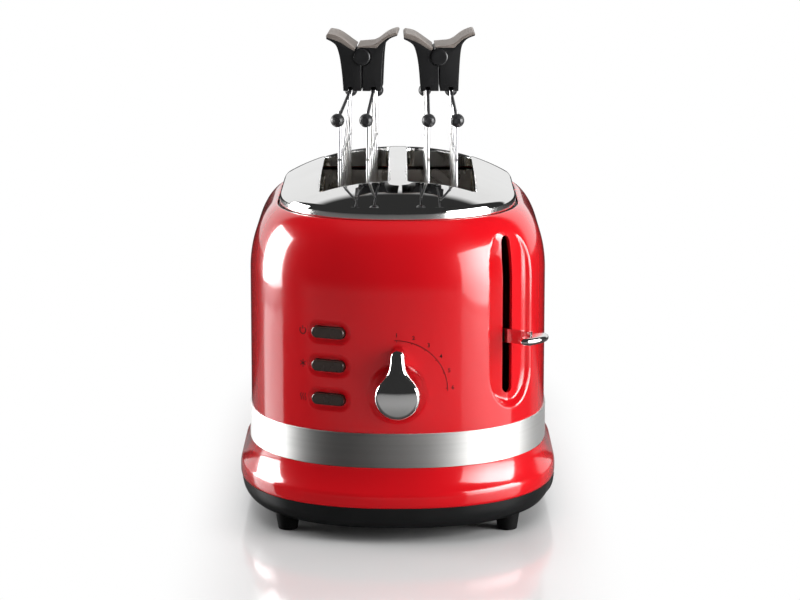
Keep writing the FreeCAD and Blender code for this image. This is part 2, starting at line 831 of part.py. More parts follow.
knuckle_spans = {"outer": [(grip_front_y, -14.0), (2.0, 8.0)], "inner": [(-14.0, 2.0), (8.0, grip_rear_y)]}


def rest_arms(lean):
    """Coated wires that reach from the grip to a ball beyond each end of the slot."""
    solids = []
    for y_ball, y_grip in ((ball_front_y, grip_front_y + 5.0), (ball_rear_y, grip_rear_y - 5.0)):
        foot_point = (-cage_half_gap, local_y(y_ball), ball_z)
        root_point = (-6.8 + lean, local_y(y_grip), grip_bottom_z + 0.6)
        top_point = (-6.8 + lean, local_y(y_grip), grip_bottom_z + 7.0)
        wire = [rod(foot_point, root_point, arm_wire), ball(root_point, arm_wire),
                rod(root_point, top_point, arm_wire), ball(foot_point, ball_radius)]
        solids.append(fuse(wire))
    return Part.makeCompound(solids)


def knuckle(span, growth, radius):
    """Cylinder round the pivot over one span of the grip's length, longer by growth at each end."""
    return rod((0, local_y(span[0]) - growth, pivot_z), (0, local_y(span[1]) + growth, pivot_z), radius)


def tong_grip(kind, half, lean):
    """One grip half with its share of the knuckles round the pivot."""
    other = "inner" if half == "outer" else "outer"
    grip = extruded(grip_outline(kind), local_y(grip_front_y), local_y(grip_rear_y))
    for span in knuckle_spans[half]:
        grip = grip.fuse(knuckle(span, -0.1, knuckle_radius))
    for span in knuckle_spans[other]:
        grip = grip.cut(knuckle(span, 0.25, knuckle_radius + knuckle_fit))
    bore = pivot_pin_radius + (0.0 if half == "outer" else 0.06)
    grip = grip.cut(rod((0, -40, pivot_z), (0, 40, pivot_z), bore))
    grip.translate(V(lean, 0, 0))
    return grip


def tong_pin(lean):
    """Pivot pin with a round head at each end of the grip."""
    front, rear = local_y(grip_front_y) - 0.1, local_y(grip_rear_y) + 0.1
    pin = fuse([rod((0, front, pivot_z), (0, rear, pivot_z), pivot_pin_radius),
                rod((0, front - 1.0, pivot_z), (0, front, pivot_z), pin_head_radius),
                rod((0, rear, pivot_z), (0, rear + 1.0, pivot_z), pin_head_radius)])
    pin.translate(V(lean, 0, 0))
    return pin


def tong_cage(lean):
    """Wire grid of one jaw, with a short foot on each upright that holds the sandwich."""
    x = -cage_half_gap
    first, last = local_y(cage_ys[0]), local_y(cage_ys[-1])
    wires = []
    for k, y_row in enumerate(cage_ys):
        y = local_y(y_row)
        top = arm_height_at(y_row) if k in (0, len(cage_ys) - 1) else cage_high_z
        wires.append(rod((x, y, cage_low_z + cage_wire), (x, y, top), cage_wire))
        wires.append(ball((x, y, cage_low_z + cage_wire), cage_wire))
        wires.append(rod((x, y, cage_low_z + cage_wire), (x + 5.6, y, cage_low_z + cage_wire), cage_wire))
    for y_row in hanger_ys:
        y = local_y(y_row)
        wires.append(rod((x, y, cage_high_z), (x + 1.4 + lean, y, grip_bottom_z + 6.0), 0.8 * cage_wire))
    for z in (cage_low_z + cage_wire, 108.0, 143.0, 178.0, cage_high_z):
        wires.append(rod((x, first - 1.6, z), (x, last + 1.6, z), cage_wire))
    return fuse(wires)


def arm_height_at(y_row):
    """Height of the rest arm's axis above a cage upright."""
    y_ball, y_grip = (ball_front_y, grip_front_y + 5.0) if y_row < 0 else (ball_rear_y, grip_rear_y - 5.0)
    share = (y_row - y_ball) / (y_grip - y_ball)
    return ball_z + share * (grip_bottom_z + 0.6 - ball_z)


def tong_pad(kind):
    pad = extruded(pad_outline(kind), local_y(grip_front_y), local_y(grip_rear_y))
    return pad.cut(rod((0, -40, pivot_z), (0, 40, pivot_z), knuckle_radius + knuckle_fit))


def build_tong(side_name):
    side = -1 if side_name == "left" else 1
    place = tong_place(side_name)
    for half in ("outer", "inner"):
        flip = (half == "outer") != (side < 0)
        lean = tong_lean[side_name] * (-1 if flip else 1)
        kind = "right" if flip else "left"
        pad = tong_pad(kind)
        pad.translate(V(lean, 0, 0))
        arms = rest_arms(lean)
        cage = tong_cage(lean).cut(arms)
        grip = tong_grip(kind, half, lean).cut(arms).cut(cage)
        pieces = {"grip": grip, "pad": pad, "cage": cage, "rests": arms}
        for name, shape in pieces.items():
            if flip:
                shape = mirrored(shape)
            shape.Placement = place.multiply(shape.Placement)
            save("_".join((side_name, "tong", half, name)), shape)
    pin = tong_pin(tong_lean[side_name])
    pin.Placement = place.multiply(pin.Placement)
    save(side_name + "_tong_pin", pin)


save("base_tray", base_tray())
save("feet", feet())
save("screws", screws())
save("skirt", skirt())
save("body_shell", body_shell())
save("metal_band", metal_band())
save("chrome_top", chrome_top())
save("top_gasket", top_gasket())
save("front_chassis", front_chassis())
save("rear_chassis", rear_chassis())
save("left_heat_shield", heat_shield(-1))
save("right_heat_shield", heat_shield(1))
save("heater_boards", heater_boards())
save("heating_wires", heating_wires())
save("left_bread_guards", bread_guards(-1))
save("right_bread_guards", bread_guards(1))
save("guide_rods", guide_rods())
save("electromagnet", electromagnet())
save("circuit_board", circuit_board())
save("potentiometer", potentiometer())
save("button_guide", button_guide())
save("button_switches", button_switches())
save("terminal_block", terminal_block())
save("cord_inlet", cord_inlet())
save("carriage_plate", carriage_plate())
save("left_bread_rack", bread_rack(-1))
save("right_bread_rack", bread_rack(1))
save("lever_arm", lever_arm())
save("lever_handle", lever_handle())
save("latch_plate", latch_plate())
save("return_spring", return_spring())
save("browning_knob", browning_knob())
save("knob_shaft", knob_shaft())
for button_name, button_z in button_heights.items():
    save("button_" + button_name, button(button_z))
save("crumb_tray", crumb_tray())
save("tray_handle", tray_handle())
for tong_side in ("left", "right"):
    build_tong(tong_side)
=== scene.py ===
import json
import math

import bmesh
import bpy
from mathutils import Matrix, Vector
from mathutils.geometry import delaunay_2d_cdt


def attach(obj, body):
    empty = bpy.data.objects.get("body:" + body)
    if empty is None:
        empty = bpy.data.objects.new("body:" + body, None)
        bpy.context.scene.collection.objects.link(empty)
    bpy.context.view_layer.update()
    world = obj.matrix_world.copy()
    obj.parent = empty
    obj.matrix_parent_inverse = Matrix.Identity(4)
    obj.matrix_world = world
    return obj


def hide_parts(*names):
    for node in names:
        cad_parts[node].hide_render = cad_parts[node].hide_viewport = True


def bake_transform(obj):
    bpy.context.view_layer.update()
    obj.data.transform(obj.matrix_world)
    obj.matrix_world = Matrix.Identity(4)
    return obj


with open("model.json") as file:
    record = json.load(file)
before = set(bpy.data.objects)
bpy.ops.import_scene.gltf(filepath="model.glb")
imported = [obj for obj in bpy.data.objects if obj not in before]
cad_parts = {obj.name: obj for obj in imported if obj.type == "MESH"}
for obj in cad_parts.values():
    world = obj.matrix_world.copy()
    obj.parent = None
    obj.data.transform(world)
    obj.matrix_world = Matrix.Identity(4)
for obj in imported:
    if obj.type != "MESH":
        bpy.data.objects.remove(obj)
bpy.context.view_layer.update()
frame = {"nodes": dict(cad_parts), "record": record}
nodes = frame["nodes"]
mm = 0.001
print("frame loaded:", len(nodes), "nodes")


# small helpers for meshes

def addObject(name, data):
    piece = bpy.data.objects.new(name, data)
    bpy.context.scene.collection.objects.link(piece)
    return piece


def addMesh(name, points, faces, edges=()):  # points are in millimetres
    mesh = bpy.data.meshes.new(name)
    mesh.from_pydata([(x * mm, y * mm, z * mm) for x, y, z in points], edges, faces)
    return addObject(name, mesh)


def bakeModifiers(piece):
    graph = bpy.context.evaluated_depsgraph_get()
    mesh = bpy.data.meshes.new_from_object(piece.evaluated_get(graph))
    piece.modifiers.clear()
    piece.data = mesh


def smoothUpTo(piece, degrees):
    piece.data.shade_smooth()
    piece.data.set_sharp_from_angle(angle=math.radians(degrees))


def tidyMesh(piece):  # merges doubles and turns the faces outwards
    mesh = bmesh.new()
    mesh.from_mesh(piece.data)
    bmesh.ops.remove_doubles(mesh, verts=mesh.verts, dist=0.002 * mm)
    bmesh.ops.recalc_face_normals(mesh, faces=mesh.faces)
    mesh.to_mesh(piece.data)
    mesh.free()


def joinInto(piece, others):
    mesh = bmesh.new()
    mesh.from_mesh(piece.data)
    for other in others:
        mesh.from_mesh(other.data)
        bpy.data.objects.remove(other)
    mesh.to_mesh(piece.data)
    mesh.free()


def carve(piece, cutter, mode="DIFFERENCE"):
    step = piece.modifiers.new("carve", "BOOLEAN")
    step.operation = mode
    step.solver = "EXACT"
    step.object = cutter
    bakeModifiers(piece)
    bpy.data.objects.remove(cutter)


def finishPiece(piece, material, body, slotName, *replaced):
    piece.data.materials.clear()
    piece.data.materials.append(material)
    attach(piece, body)
    if replaced:
        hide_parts(*replaced)


def closedStack(rings, wrap):  # quads between rings that each run round anticlockwise
    count = len(rings[0])
    points = [p for ring in rings for p in ring]
    faces = []
    for i in range(len(rings) if wrap else len(rings) - 1):
        low, high = i * count, ((i + 1) % len(rings)) * count
        for j in range(count):
            k = (j + 1) % count
            faces.append((low + j, low + k, high + k, high + j))
    return points, faces


def ringPiece(name, rings, wrap=False, smooth=0.0):  # rings that don't wrap get flat ends
    points, faces = closedStack(rings, wrap)
    if not wrap:
        count = len(rings[0])
        faces += [tuple(range(count)), tuple(range(len(points) - 1, len(points) - 1 - count, -1))]
    piece = addMesh(name, points, faces)
    tidyMesh(piece)
    if smooth:
        smoothUpTo(piece, smooth)
    return piece


def softMin(a, b, blend):
    h = min(max(0.5 + 0.5 * (b - a) / blend, 0.0), 1.0)
    return b + (a - b) * h - blend * h * (1.0 - h)


def softMax(a, b, blend):
    return -softMin(-a, -b, blend)


def ramp(value, low, high):  # smooth step from 0 at low to 1 at high
    t = min(max((value - low) / (high - low), 0.0), 1.0)
    return t * t * (3.0 - 2.0 * t)


def throughPoints(points, steps):  # smooth open curve through 2-D points
    result = []
    last = len(points) - 1
    for i in range(last):
        a, b, c, d = (points[max(i - 1, 0)], points[i], points[i + 1], points[min(i + 2, last)])
        for k in range(steps):
            t = k / steps
            result.append(tuple(0.5 * (2 * q + (r - p) * t + (2 * p - 5 * q + 4 * r - s) * t * t
                                       + (3 * q - p - 3 * r + s) * t ** 3)
                                for p, q, r, s in zip(a, b, c, d)))
    result.append(tuple(points[-1]))
    return result


view = {"place": (0.0034, -1.675, 0.4346), "pitch": 79.3, "yaw": 0.0716, "lens": 126.0}
camera = addObject("camera", bpy.data.cameras.new("camera"))
camera.data.lens = view["lens"]
camera.data.sensor_width = 36.0
camera.data.clip_end = 30.0
camera.location = view["place"]
camera.rotation_euler = (math.radians(view["pitch"]), 0.0, math.radians(view["yaw"]))
bpy.context.scene.camera = camera


# small helpers for node trees

def addNode(tree, kind, inputs=None, **settings):  # an input is a socket to link or a plain value
    node = tree.nodes.new(kind)
    for key, value in settings.items():
        setattr(node, key, value)
    for key, value in (inputs or {}).items():
        if isinstance(value, bpy.types.NodeSocket):
            tree.links.new(value, node.inputs[key])
        else:
            node.inputs[key].default_value = value
    return node


def noise(tree, vector, scale, detail, **more):
    inputs = {"Vector": vector, "Scale": scale, "Detail": detail, **more}
    return addNode(tree, "ShaderNodeTexNoise", inputs).outputs["Fac"]


def maths(tree, operation, *values):
    return addNode(tree, "ShaderNodeMath", dict(enumerate(values)), operation=operation).outputs[0]


def mapRange(tree, value, low, high, toLow=0.0, toHigh=1.0, smooth=False):
    inputs = {"Value": value, "From Min": low, "From Max": high, "To Min": toLow, "To Max": toHigh}
    kind = "SMOOTHSTEP" if smooth else "LINEAR"
    return addNode(tree, "ShaderNodeMapRange", inputs, interpolation_type=kind).outputs["Result"]


def stretched(tree, vector, by):
    return addNode(tree, "ShaderNodeVectorMath", {0: vector, 1: by}, operation="MULTIPLY").outputs[0]


def mixColours(tree, factor, first, second):
    inputs = {"Factor": factor, "A": first, "B": second}
    return addNode(tree, "ShaderNodeMix", inputs, data_type="RGBA").outputs["Result"]


def blendColours(tree, factor, first, second):
    return mixColours(tree, factor, (*first, 1.0), (*second, 1.0))


def mixShaders(tree, factor, first, second):
    return addNode(tree, "ShaderNodeMixShader", {0: factor, 1: first.outputs[0], 2: second.outputs[0]})


def socketKind(value):
    if isinstance(value, str):
        return "NodeSocket" + value
    if isinstance(value, (int, float)):
        return "NodeSocketInt" if isinstance(value, int) else "NodeSocketFloat"
    return "NodeSocketVector" if len(value) == 3 else "NodeSocketColor"


def makeGroup(name, inputs, outputs, build, kind="ShaderNodeTree"):  # build gives a socket for each output
    tree = bpy.data.node_groups.new(name, kind)
    for way, rows in (("INPUT", inputs), ("OUTPUT", outputs)):
        for label, value in rows.items():
            socket = tree.interface.new_socket(label, in_out=way, socket_type=socketKind(value))
            if not isinstance(value, str):
                socket.default_value = value
    results = build(tree, tree.nodes.new("NodeGroupInput").outputs)
    for socket, target in zip(results, tree.nodes.new("NodeGroupOutput").inputs):
        tree.links.new(socket, target)
    return tree


# effects that several finishes share

def buildWaviness(tree, given):  # slow swell of sprayed enamel and pressed sheet, with a fine peel on it
    swell = noise(tree, given["Vector"], given["Swell Scale"], 1.0)
    peel = noise(tree, given["Vector"], given["Peel Scale"], 2.0)
    inputs = {"Factor": given["Peel Share"], "A": swell, "B": peel}
    return [addNode(tree, "ShaderNodeMix", inputs).outputs["Result"]]


def buildSmudges(tree, given):  # patches where hands and wiping change the gloss
    patch = noise(tree, stretched(tree, given["Vector"], (1.0, 1.0, 0.45)), given["Scale"], 5.0,
                  Roughness=0.62, Distortion=0.6)
    return [mapRange(tree, patch, 0.42, 0.72, given["Clean"], given["Touched"], smooth=True),
            mapRange(tree, patch, 0.42, 0.72, smooth=True)]


def buildBrushing(tree, given):  # fine lines drawn out in one direction
    drawn = stretched(tree, given["Vector"], given["Stretch"])
    wide = stretched(tree, drawn, (0.35, 0.35, 0.16))
    return [noise(tree, drawn, 1.0, 4.0, Roughness=0.7), noise(tree, wide, 1.0, 2.0)]


def buildGrain(tree, given):  # spark-eroded grain of moulded plastic and rubber
    spot = {"Vector": given["Vector"], "Scale": given["Scale"], "Randomness": 1.0}
    cells = addNode(tree, "ShaderNodeTexVoronoi", spot, feature="SMOOTH_F1").outputs["Distance"]
    grit = noise(tree, given["Vector"], given["Scale"], 3.0)
    return [maths(tree, "MULTIPLY", cells, grit), noise(tree, given["Vector"], 60.0, 4.0)]


def buildDust(tree, given):  # dust that has settled on faces that look up
    normal = addNode(tree, "ShaderNodeNewGeometry").outputs["Normal"]
    up = addNode(tree, "ShaderNodeSeparateXYZ", {0: normal}).outputs["Z"]
    specks = noise(tree, given["Vector"], given["Scale"], 3.0, Roughness=0.7)
    both = maths(tree, "MULTIPLY", mapRange(tree, up, 0.2, 1.0, smooth=True),
                 mapRange(tree, specks, 0.5, 0.8))
    return [maths(tree, "MULTIPLY", both, given["Amount"])]


def buildHeatTint(tree, given):  # straw and blue bands that heat leaves on bare metal
    height = addNode(tree, "ShaderNodeSeparateXYZ", {0: given["Vector"]}).outputs["Z"]
    cloud = noise(tree, given["Vector"], 22.0, 4.0, Distortion=0.8)
    share = maths(tree, "MULTIPLY", mapRange(tree, cloud, 0.38, 0.66, smooth=True),
                  mapRange(tree, height, 0.06, 0.19))
    much = maths(tree, "MULTIPLY", share, given["Amount"])
    return [mixColours(tree, much, given["Metal"], given["Tint"])]


spot = {"Vector": (0.0, 0.0, 0.0)}
waviness = makeGroup("surfaceWaviness", {**spot, "Swell Scale": 30.0, "Peel Scale": 900.0, "Peel Share": 0.3},
                     {"Height": "Float"}, buildWaviness)
smudges = makeGroup("wipedSmudges", {**spot, "Scale": 25.0, "Clean": 0.05, "Touched": 0.15},
                    {"Roughness": "Float", "Mask": "Float"}, buildSmudges)
brushing = makeGroup("brushedLines", {**spot, "Stretch": (4.0, 4.0, 900.0)},
                     {"Lines": "Float", "Streaks": "Float"}, buildBrushing)
grain = makeGroup("mouldGrain", {**spot, "Scale": 1500.0}, {"Height": "Float", "Mottle": "Float"}, buildGrain)
dust = makeGroup("settledDust", {**spot, "Scale": 400.0, "Amount": 0.3}, {"Mask": "Float"}, buildDust)
heatTint = makeGroup("heatTint", {**spot, "Metal": (0.6, 0.6, 0.6, 1.0), "Tint": (0.5, 0.36, 0.2, 1.0),
                                  "Amount": 0.5}, {"Color": "Color"}, buildHeatTint)


def startFinish(name, plain):  # plain values go straight onto the shader
    material = bpy.data.materials.new(name)
    material.use_nodes = True
    tree = material.node_tree
    shader = tree.nodes["Principled BSDF"]
    for label, value in plain.items():
        shader.inputs[label].default_value = value
    return material, tree, shader, tree.nodes.new("ShaderNodeTexCoord").outputs["Object"]


def useGroup(tree, group, place, values):
    return addNode(tree, "ShaderNodeGroup", {"Vector": place, **values}, node_tree=group).outputs


def useSmudges(tree, place, scale, roughness):
    return useGroup(tree, smudges, place, {"Scale": scale, "Clean": roughness[0], "Touched": roughness[1]})


def dress(tree, shader, colour, roughness, height, strength, distance):  # what varies over every finish
    inputs = {"Height": height, "Strength": strength, "Distance": distance}
    normal = addNode(tree, "ShaderNodeBump", inputs).outputs["Normal"]
    for label, socket in (("Base Color", colour), ("Roughness", roughness), ("Normal", normal)):
        tree.links.new(socket, shader.inputs[label])
    return normal


def enamelFinish(name, colour, second, roughness, coatRoughness, swell, peel, bump):
    material, tree, shader, place = startFinish(name, {"Coat Weight": 1.0, "Coat Roughness": coatRoughness,
                                                       "Coat IOR": 1.42, "IOR": 1.35})
    wave = useGroup(tree, waviness, place, {"Swell Scale": swell, "Peel Scale": peel, "Peel Share": 0.12})
    marks = useSmudges(tree, place, 18.0, roughness)
    flake = noise(tree, place, 9.0, 3.0)
    base = blendColours(tree, flake, colour, second)
    normal = dress(tree, shader, base, marks["Roughness"], wave["Height"], bump, 0.0006)
    tree.links.new(normal, shader.inputs["Coat Normal"])
    return material


def mirrorFinish(name, colour, second, roughness, smudgeScale, dustShare, swell, bump, satinBelow=None,
                 satin=0.0):
    material, tree, shader, place = startFinish(name, {"Metallic": 1.0})
    wave = useGroup(tree, waviness, place, {"Swell Scale": swell, "Peel Scale": 1200.0, "Peel Share": 0.05})
    marks = useSmudges(tree, place, smudgeScale, roughness)
    dusty = useGroup(tree, dust, place, {"Scale": 700.0, "Amount": dustShare})
    rough = maths(tree, "ADD", marks["Roughness"], dusty["Mask"])
    if satinBelow:  # the rolled rim keeps the satin of its edge
        height = addNode(tree, "ShaderNodeSeparateXYZ", {0: place}).outputs["Z"]
        rough = mapRange(tree, height, satinBelow - 0.0004, satinBelow + 0.0004, satin, rough, smooth=True)
    base = blendColours(tree, marks["Mask"], colour, second)
    dress(tree, shader, base, rough, wave["Height"], bump, 0.0004)
    return material


def brushedFinish(name, colour, second, roughness, touched, bump, stretch, anisotropic=0.0):
    material, tree, shader, place = startFinish(name, {"Metallic": 1.0, "Anisotropic": anisotropic})
    lines = useGroup(tree, brushing, place, {"Stretch": stretch})
    marks = useSmudges(tree, place, 30.0, (0.0, touched))
    rough = maths(tree, "ADD", mapRange(tree, lines["Lines"], 0.3, 0.7, *roughness), marks["Roughness"])
    base = blendColours(tree, lines["Streaks"], colour, second)
    dress(tree, shader, base, rough, lines["Lines"], bump, 0.00003)
    if anisotropic:
        turn = addNode(tree, "ShaderNodeTangent", direction_type="RADIAL", axis="Z")
        tree.links.new(turn.outputs[0], shader.inputs["Tangent"])
        shader.inputs["Anisotropic Rotation"].default_value = 0.25
    return material


def mouldedFinish(name, colour, second, size, roughness, bump, dustShare=0.25, ior=1.48, coat=0.0, sheen=0.0):
    plain = {"Coat Weight": coat, "IOR": ior, "Sheen Weight": sheen}
    if coat:
        plain["Coat Roughness"] = 0.12
    material, tree, shader, place = startFinish(name, plain)
    texture = useGroup(tree, grain, place, {"Scale": size})
    marks = useSmudges(tree, place, 35.0, roughness)
    dusty = useGroup(tree, dust, place, {"Scale": 900.0, "Amount": dustShare})
    base = blendColours(tree, texture["Mottle"], colour, second)
    dress(tree, shader, mixColours(tree, dusty["Mask"], base, (0.3, 0.29, 0.27, 1.0)), marks["Roughness"],
          texture["Height"], bump, 0.00006)
    return material


def bareMetalFinish(name, colour, tint, heat, stretch, roughness, bump):  # inner sheet, with heat marks
    material, tree, shader, place = startFinish(name, {"Metallic": 1.0})
    lines = useGroup(tree, brushing, place, {"Stretch": stretch})
    warm = useGroup(tree, heatTint, place, {"Metal": (*colour, 1.0), "Tint": (*tint, 1.0), "Amount": heat})
    marks = useSmudges(tree, place, 40.0, roughness)
    dress(tree, shader, warm["Color"], marks["Roughness"], lines["Lines"], bump, 0.00004)
    return material


# the case outline, shared by the shell, band, skirt and lid

case = {"halfWidth": 87.6, "endDepth": 96.0, "endPower": 2.3, "straightHalf": 28.0,
        "shoulderStart": 145.0, "shoulderHeight": 41.0, "shoulderDepth": 22.0, "lipZ": 184.0}


def endPoint(halfWidth, angle):  # the front end; angle runs from -90 degrees at the left to 90 at the right
    depth = case["endDepth"] - (case["halfWidth"] - halfWidth)
    power = 2.0 / case["endPower"]
    across = halfWidth * math.copysign(abs(math.sin(angle)) ** power, angle)
    return across, -case["straightHalf"] - depth * abs(math.cos(angle)) ** power


def planStations(frontStep, rearStep, sideCount):  # frontStep gives the spacing wanted at an x
    stations = []
    for end, step in (("front", frontStep), ("rear", rearStep)):
        last, gone = None, 0.0
        for k in range(6001):
            angle = math.pi * (k / 6000.0 - 0.5)
            x, y = endPoint(case["halfWidth"], angle)
            if last:
                gone += math.hypot(x - last[0], y - last[1])
            if k == 0 or (gone >= step(x) and k < 5980):
                stations.append((end, angle))
                gone = 0.0
            last = (x, y)
        side = "right" if end == "front" else "left"
        stations.extend((side, k / sideCount) for k in range(sideCount))
    return stations


def planPoint(station, halfWidth):
    part, value = station
    half = case["straightHalf"]
    if part == "front":
        return endPoint(halfWidth, value)
    if part == "rear":
        x, y = endPoint(halfWidth, value)
        return -x, -y
    if part == "right":
        return halfWidth, -half + 2.0 * half * value
    return -halfWidth, half - 2.0 * half * value


def planNormal(station, halfWidth):
    x, y = planPoint(station, halfWidth)
    if station[0] in ("right", "left"):
        return math.copysign(1.0, x), 0.0
    depth = case["endDepth"] - (case["halfWidth"] - halfWidth)
    along = max(abs(y) - case["straightHalf"], 0.0)
    power = case["endPower"] - 1.0
    nx = (abs(x) / halfWidth) ** power / halfWidth
    ny = (along / depth) ** power / depth
    size = math.hypot(nx, ny)
    return math.copysign(nx / size, x), math.copysign(ny / size, y)


def planRing(stations, halfWidth, z):
    return [(*planPoint(s, halfWidth), z) for s in stations]


def frontY(x):
    return endPoint(case["halfWidth"], math.asin(min((abs(x) / case["halfWidth"]) ** (0.5 * case["endPower"]),
                                                     1.0)))[1]


def cornerFrame(x, degrees):  # point on the case, outward direction and the direction along the wall
    side, angle = math.copysign(1.0, x), math.radians(degrees)
    along, up = math.cos(angle), math.sin(angle)
    return (x, frontY(x)), (side * up, -along), (side * along, up)


coarsePlan = planStations(lambda x: 3.0, lambda x: 3.6, 8)

# red shell with its pressed recess, dial dish and button dimples

shell = {"wall": 1.6, "bottomZ": 47.0, "lipRadius": 0.8, "innerSpread": 1.4, "innerLean": 0.012,
         "leverX": 66.5, "leverAngle": 51.0, "recessZ": 125.1, "recessHalfWidth": 21.0, "recessReach": 30.0,
         "recessHalfHeight": 51.2, "recessDepth": 3.6, "recessFollow": 0.45, "recessTilt": 0.48,
         "recessBroad": 0.05, "recessSteep": 0.2, "broadRange": (-4.0, 8.0), "pressRadius": 0.9,
         "pressedTo": -40.0, "slotWidth": 7.0, "slotLow": 81.6, "slotHigh": 173.4,
         "dialZ": 87.5, "dishRadius": 16.3, "dishY": -122.7, "dishSoft": 0.7, "shaftHole": 3.4,
         "buttonX": -39.4, "buttonAngle": 22.5, "buttonHeights": (121.3, 102.1, 82.6),
         "buttonHalf": (10.4, 3.65), "dimple": 0.8, "dimpleReach": 3.0, "dimpleSoft": 2.2}


def pillDistance(u, v, halfLong, halfShort):  # positive inside a pill that lies along u
    return halfShort - math.hypot(max(abs(u) - (halfLong - halfShort), 0.0), v)


def shoulderHalf(z):
    if z <= case["shoulderStart"]:
        return case["halfWidth"]
    rise = (z - case["shoulderStart"]) / case["shoulderHeight"]
    return case["halfWidth"] - case["shoulderDepth"] * (1.0 - math.sqrt(max(1.0 - rise * rise, 0.0)))


recessFrame = cornerFrame(shell["leverX"], shell["leverAngle"])
buttonFrame = cornerFrame(shell["buttonX"], shell["buttonAngle"])


def pressedDepth(x, y, z, spread):  # how far the wall is pressed in at a point
    if y > shell["pressedTo"]:
        return 0.0
    depth = 0.0
    (cx, cy), (nx, ny), (tx, ty) = recessFrame
    u, inward = (x - cx) * tx + (y - cy) * ty, -((x - cx) * nx + (y - cy) * ny)
    if abs(u) < shell["recessReach"] and x > 0.0:
        broad = ramp(u, *shell["broadRange"])
        inside = pillDistance(z - shell["recessZ"], u * (1.0 - shell["recessBroad"] * broad),
                              shell["recessHalfHeight"] - inward + spread,
                              shell["recessHalfWidth"] - inward + spread)
        floor = shell["recessDepth"] - (1.0 - shell["recessFollow"]) * (case["halfWidth"] - shoulderHalf(z))
        floor += shell["recessTilt"] * max(-u - 1.0, 0.0) * ramp(floor, 0.0, 3.0)
        inside *= (1.0 + ramp(-u, 0.0, 10.0)) * (1.0 + shell["recessSteep"] * broad)
        soft = shell["pressRadius"]
        depth = max(softMax(softMin(inside, floor, 0.7 * soft), 0.0, soft), 0.0)
        if inside < -2.0 * soft or floor < -2.0 * soft:
            depth = 0.0
    away = math.hypot(x, z - shell["dialZ"])
    rim, soft = shell["dishRadius"] + spread, shell["dishSoft"]
    if away < rim + 2.0:
        depth = max(depth, (shell["dishY"] - y) * (1.0 - ramp(away, rim - soft, rim + soft)))
    (cx, cy), _, (tx, ty) = buttonFrame
    u = (x - cx) * tx + (y - cy) * ty
    if abs(u) < 20.0 and x < 0.0:
        halfLong, halfHigh = (v + shell["dimpleReach"] for v in shell["buttonHalf"])
        for height in shell["buttonHeights"]:
            inside = pillDistance(u, z - height, halfLong, halfHigh)
            depth = max(depth, shell["dimple"] * ramp(inside, 0.0, shell["dimpleSoft"]))
    return depth


def pressedRing(stations, z, wallHalf, spread):
    ring = []
    for station in stations:
        x, y = planPoint(station, wallHalf)
        nx, ny = planNormal(station, shoulderHalf(z))
        depth = pressedDepth(*planPoint(station, case["halfWidth"]), z, spread)
        ring.append((x - nx * depth, y - ny * depth, z))
    return ring


def shellRings(stations):
    start, height, radius = case["shoulderStart"], case["shoulderHeight"], shell["lipRadius"]
    first, last = (math.degrees(math.asin((z - start) / height)) for z in (178.0, case["lipZ"]))
    angles = [a for a in (first + 2.3 * k for k in range(1, 8)) if a < last - 1.0] + [last]
    levels = [shell["bottomZ"], 55.0, 62.0, 66.0] + [68.0 + k for k in range(111)]
    levels += [start + height * math.sin(math.radians(a)) for a in angles]
    rings = [pressedRing(stations, z, shoulderHalf(z), 0.0) for z in levels]
    slope = math.atan2(case["shoulderDepth"] * math.sin(math.radians(last)),
                       height * math.cos(math.radians(last)))
    centreHalf = shoulderHalf(levels[-1]) - radius * math.cos(slope)
    centreZ = levels[-1] - radius * math.sin(slope)
    for k in range(1, 8):
        turn = slope + math.pi * k / 7.0
        rings.append(planRing(stations, centreHalf + radius * math.cos(turn),
                              centreZ + radius * math.sin(turn)))
    for z in [181.0, 178.0] + [float(v) for v in range(176, 66, -2)] + [62.0, 55.0, shell["bottomZ"]]:
        inside = shoulderHalf(z) - shell["wall"] - shell["innerLean"] * max(z - 150.0, 0.0)
        rings.append(pressedRing(stations, z, inside, shell["innerSpread"]))
    return rings


def pillCutter(name, origin, outward, along, z, halfAlong, halfHigh, reach, depth):
    radius = min(halfAlong, halfHigh)
    rings = []
    for out in (reach, -depth):
        ring = []
        for k in range(48):
            side, up = math.cos(math.tau * k / 48), math.sin(math.tau * k / 48)
            u = radius * side + math.copysign(halfAlong - radius, side)
            v = radius * up + math.copysign(halfHigh - radius, up)
            ring.append((origin[0] + along[0] * u + outward[0] * out,
                         origin[1] + along[1] * u + outward[1] * out, z + v))
        rings.append(ring)
    return ringPiece(name, rings)


def buildShell():
    stations = planStations(lambda x: 0.85 if x > 40.0 else 1.25 if x > -60.0 else 2.4, lambda x: 4.6, 9)
    piece = ringPiece("bodyShell", shellRings(stations), wrap=True)
    low, high, hole = shell["slotLow"], shell["slotHigh"], shell["shaftHole"]
    cutters = [pillCutter("leverSlotCut", *recessFrame, 0.5 * (low + high), 0.5 * shell["slotWidth"],
                          0.5 * (high - low), 8.0, 20.0)]
    cutters += [pillCutter("buttonCut", *buttonFrame, z, *shell["buttonHalf"], 8.0, 12.0)
                for z in shell["buttonHeights"]]
    cutters.append(pillCutter("shaftCut", (0.0, -124.0), (0.0, -1.0), (1.0, 0.0), shell["dialZ"], hole, hole,
                              8.0, 12.0))
    joinInto(cutters[0], cutters[1:])
    carve(piece, cutters[0])
    smoothUpTo(piece, 42.0)
    return piece


redEnamel = enamelFinish("redEnamel", (0.72, 0.006, 0.012), (0.64, 0.004, 0.009), roughness=(0.16, 0.24),
                         coatRoughness=0.035, swell=35.0, peel=1400.0, bump=0.035)
bodyShell = buildShell()
finishPiece(bodyShell, redEnamel, "case", "red_enamel", "body_shell")
print("shell pressed and cut:", len(bodyShell.data.polygons), "faces")

# skirt with its rolled foot and brushed band

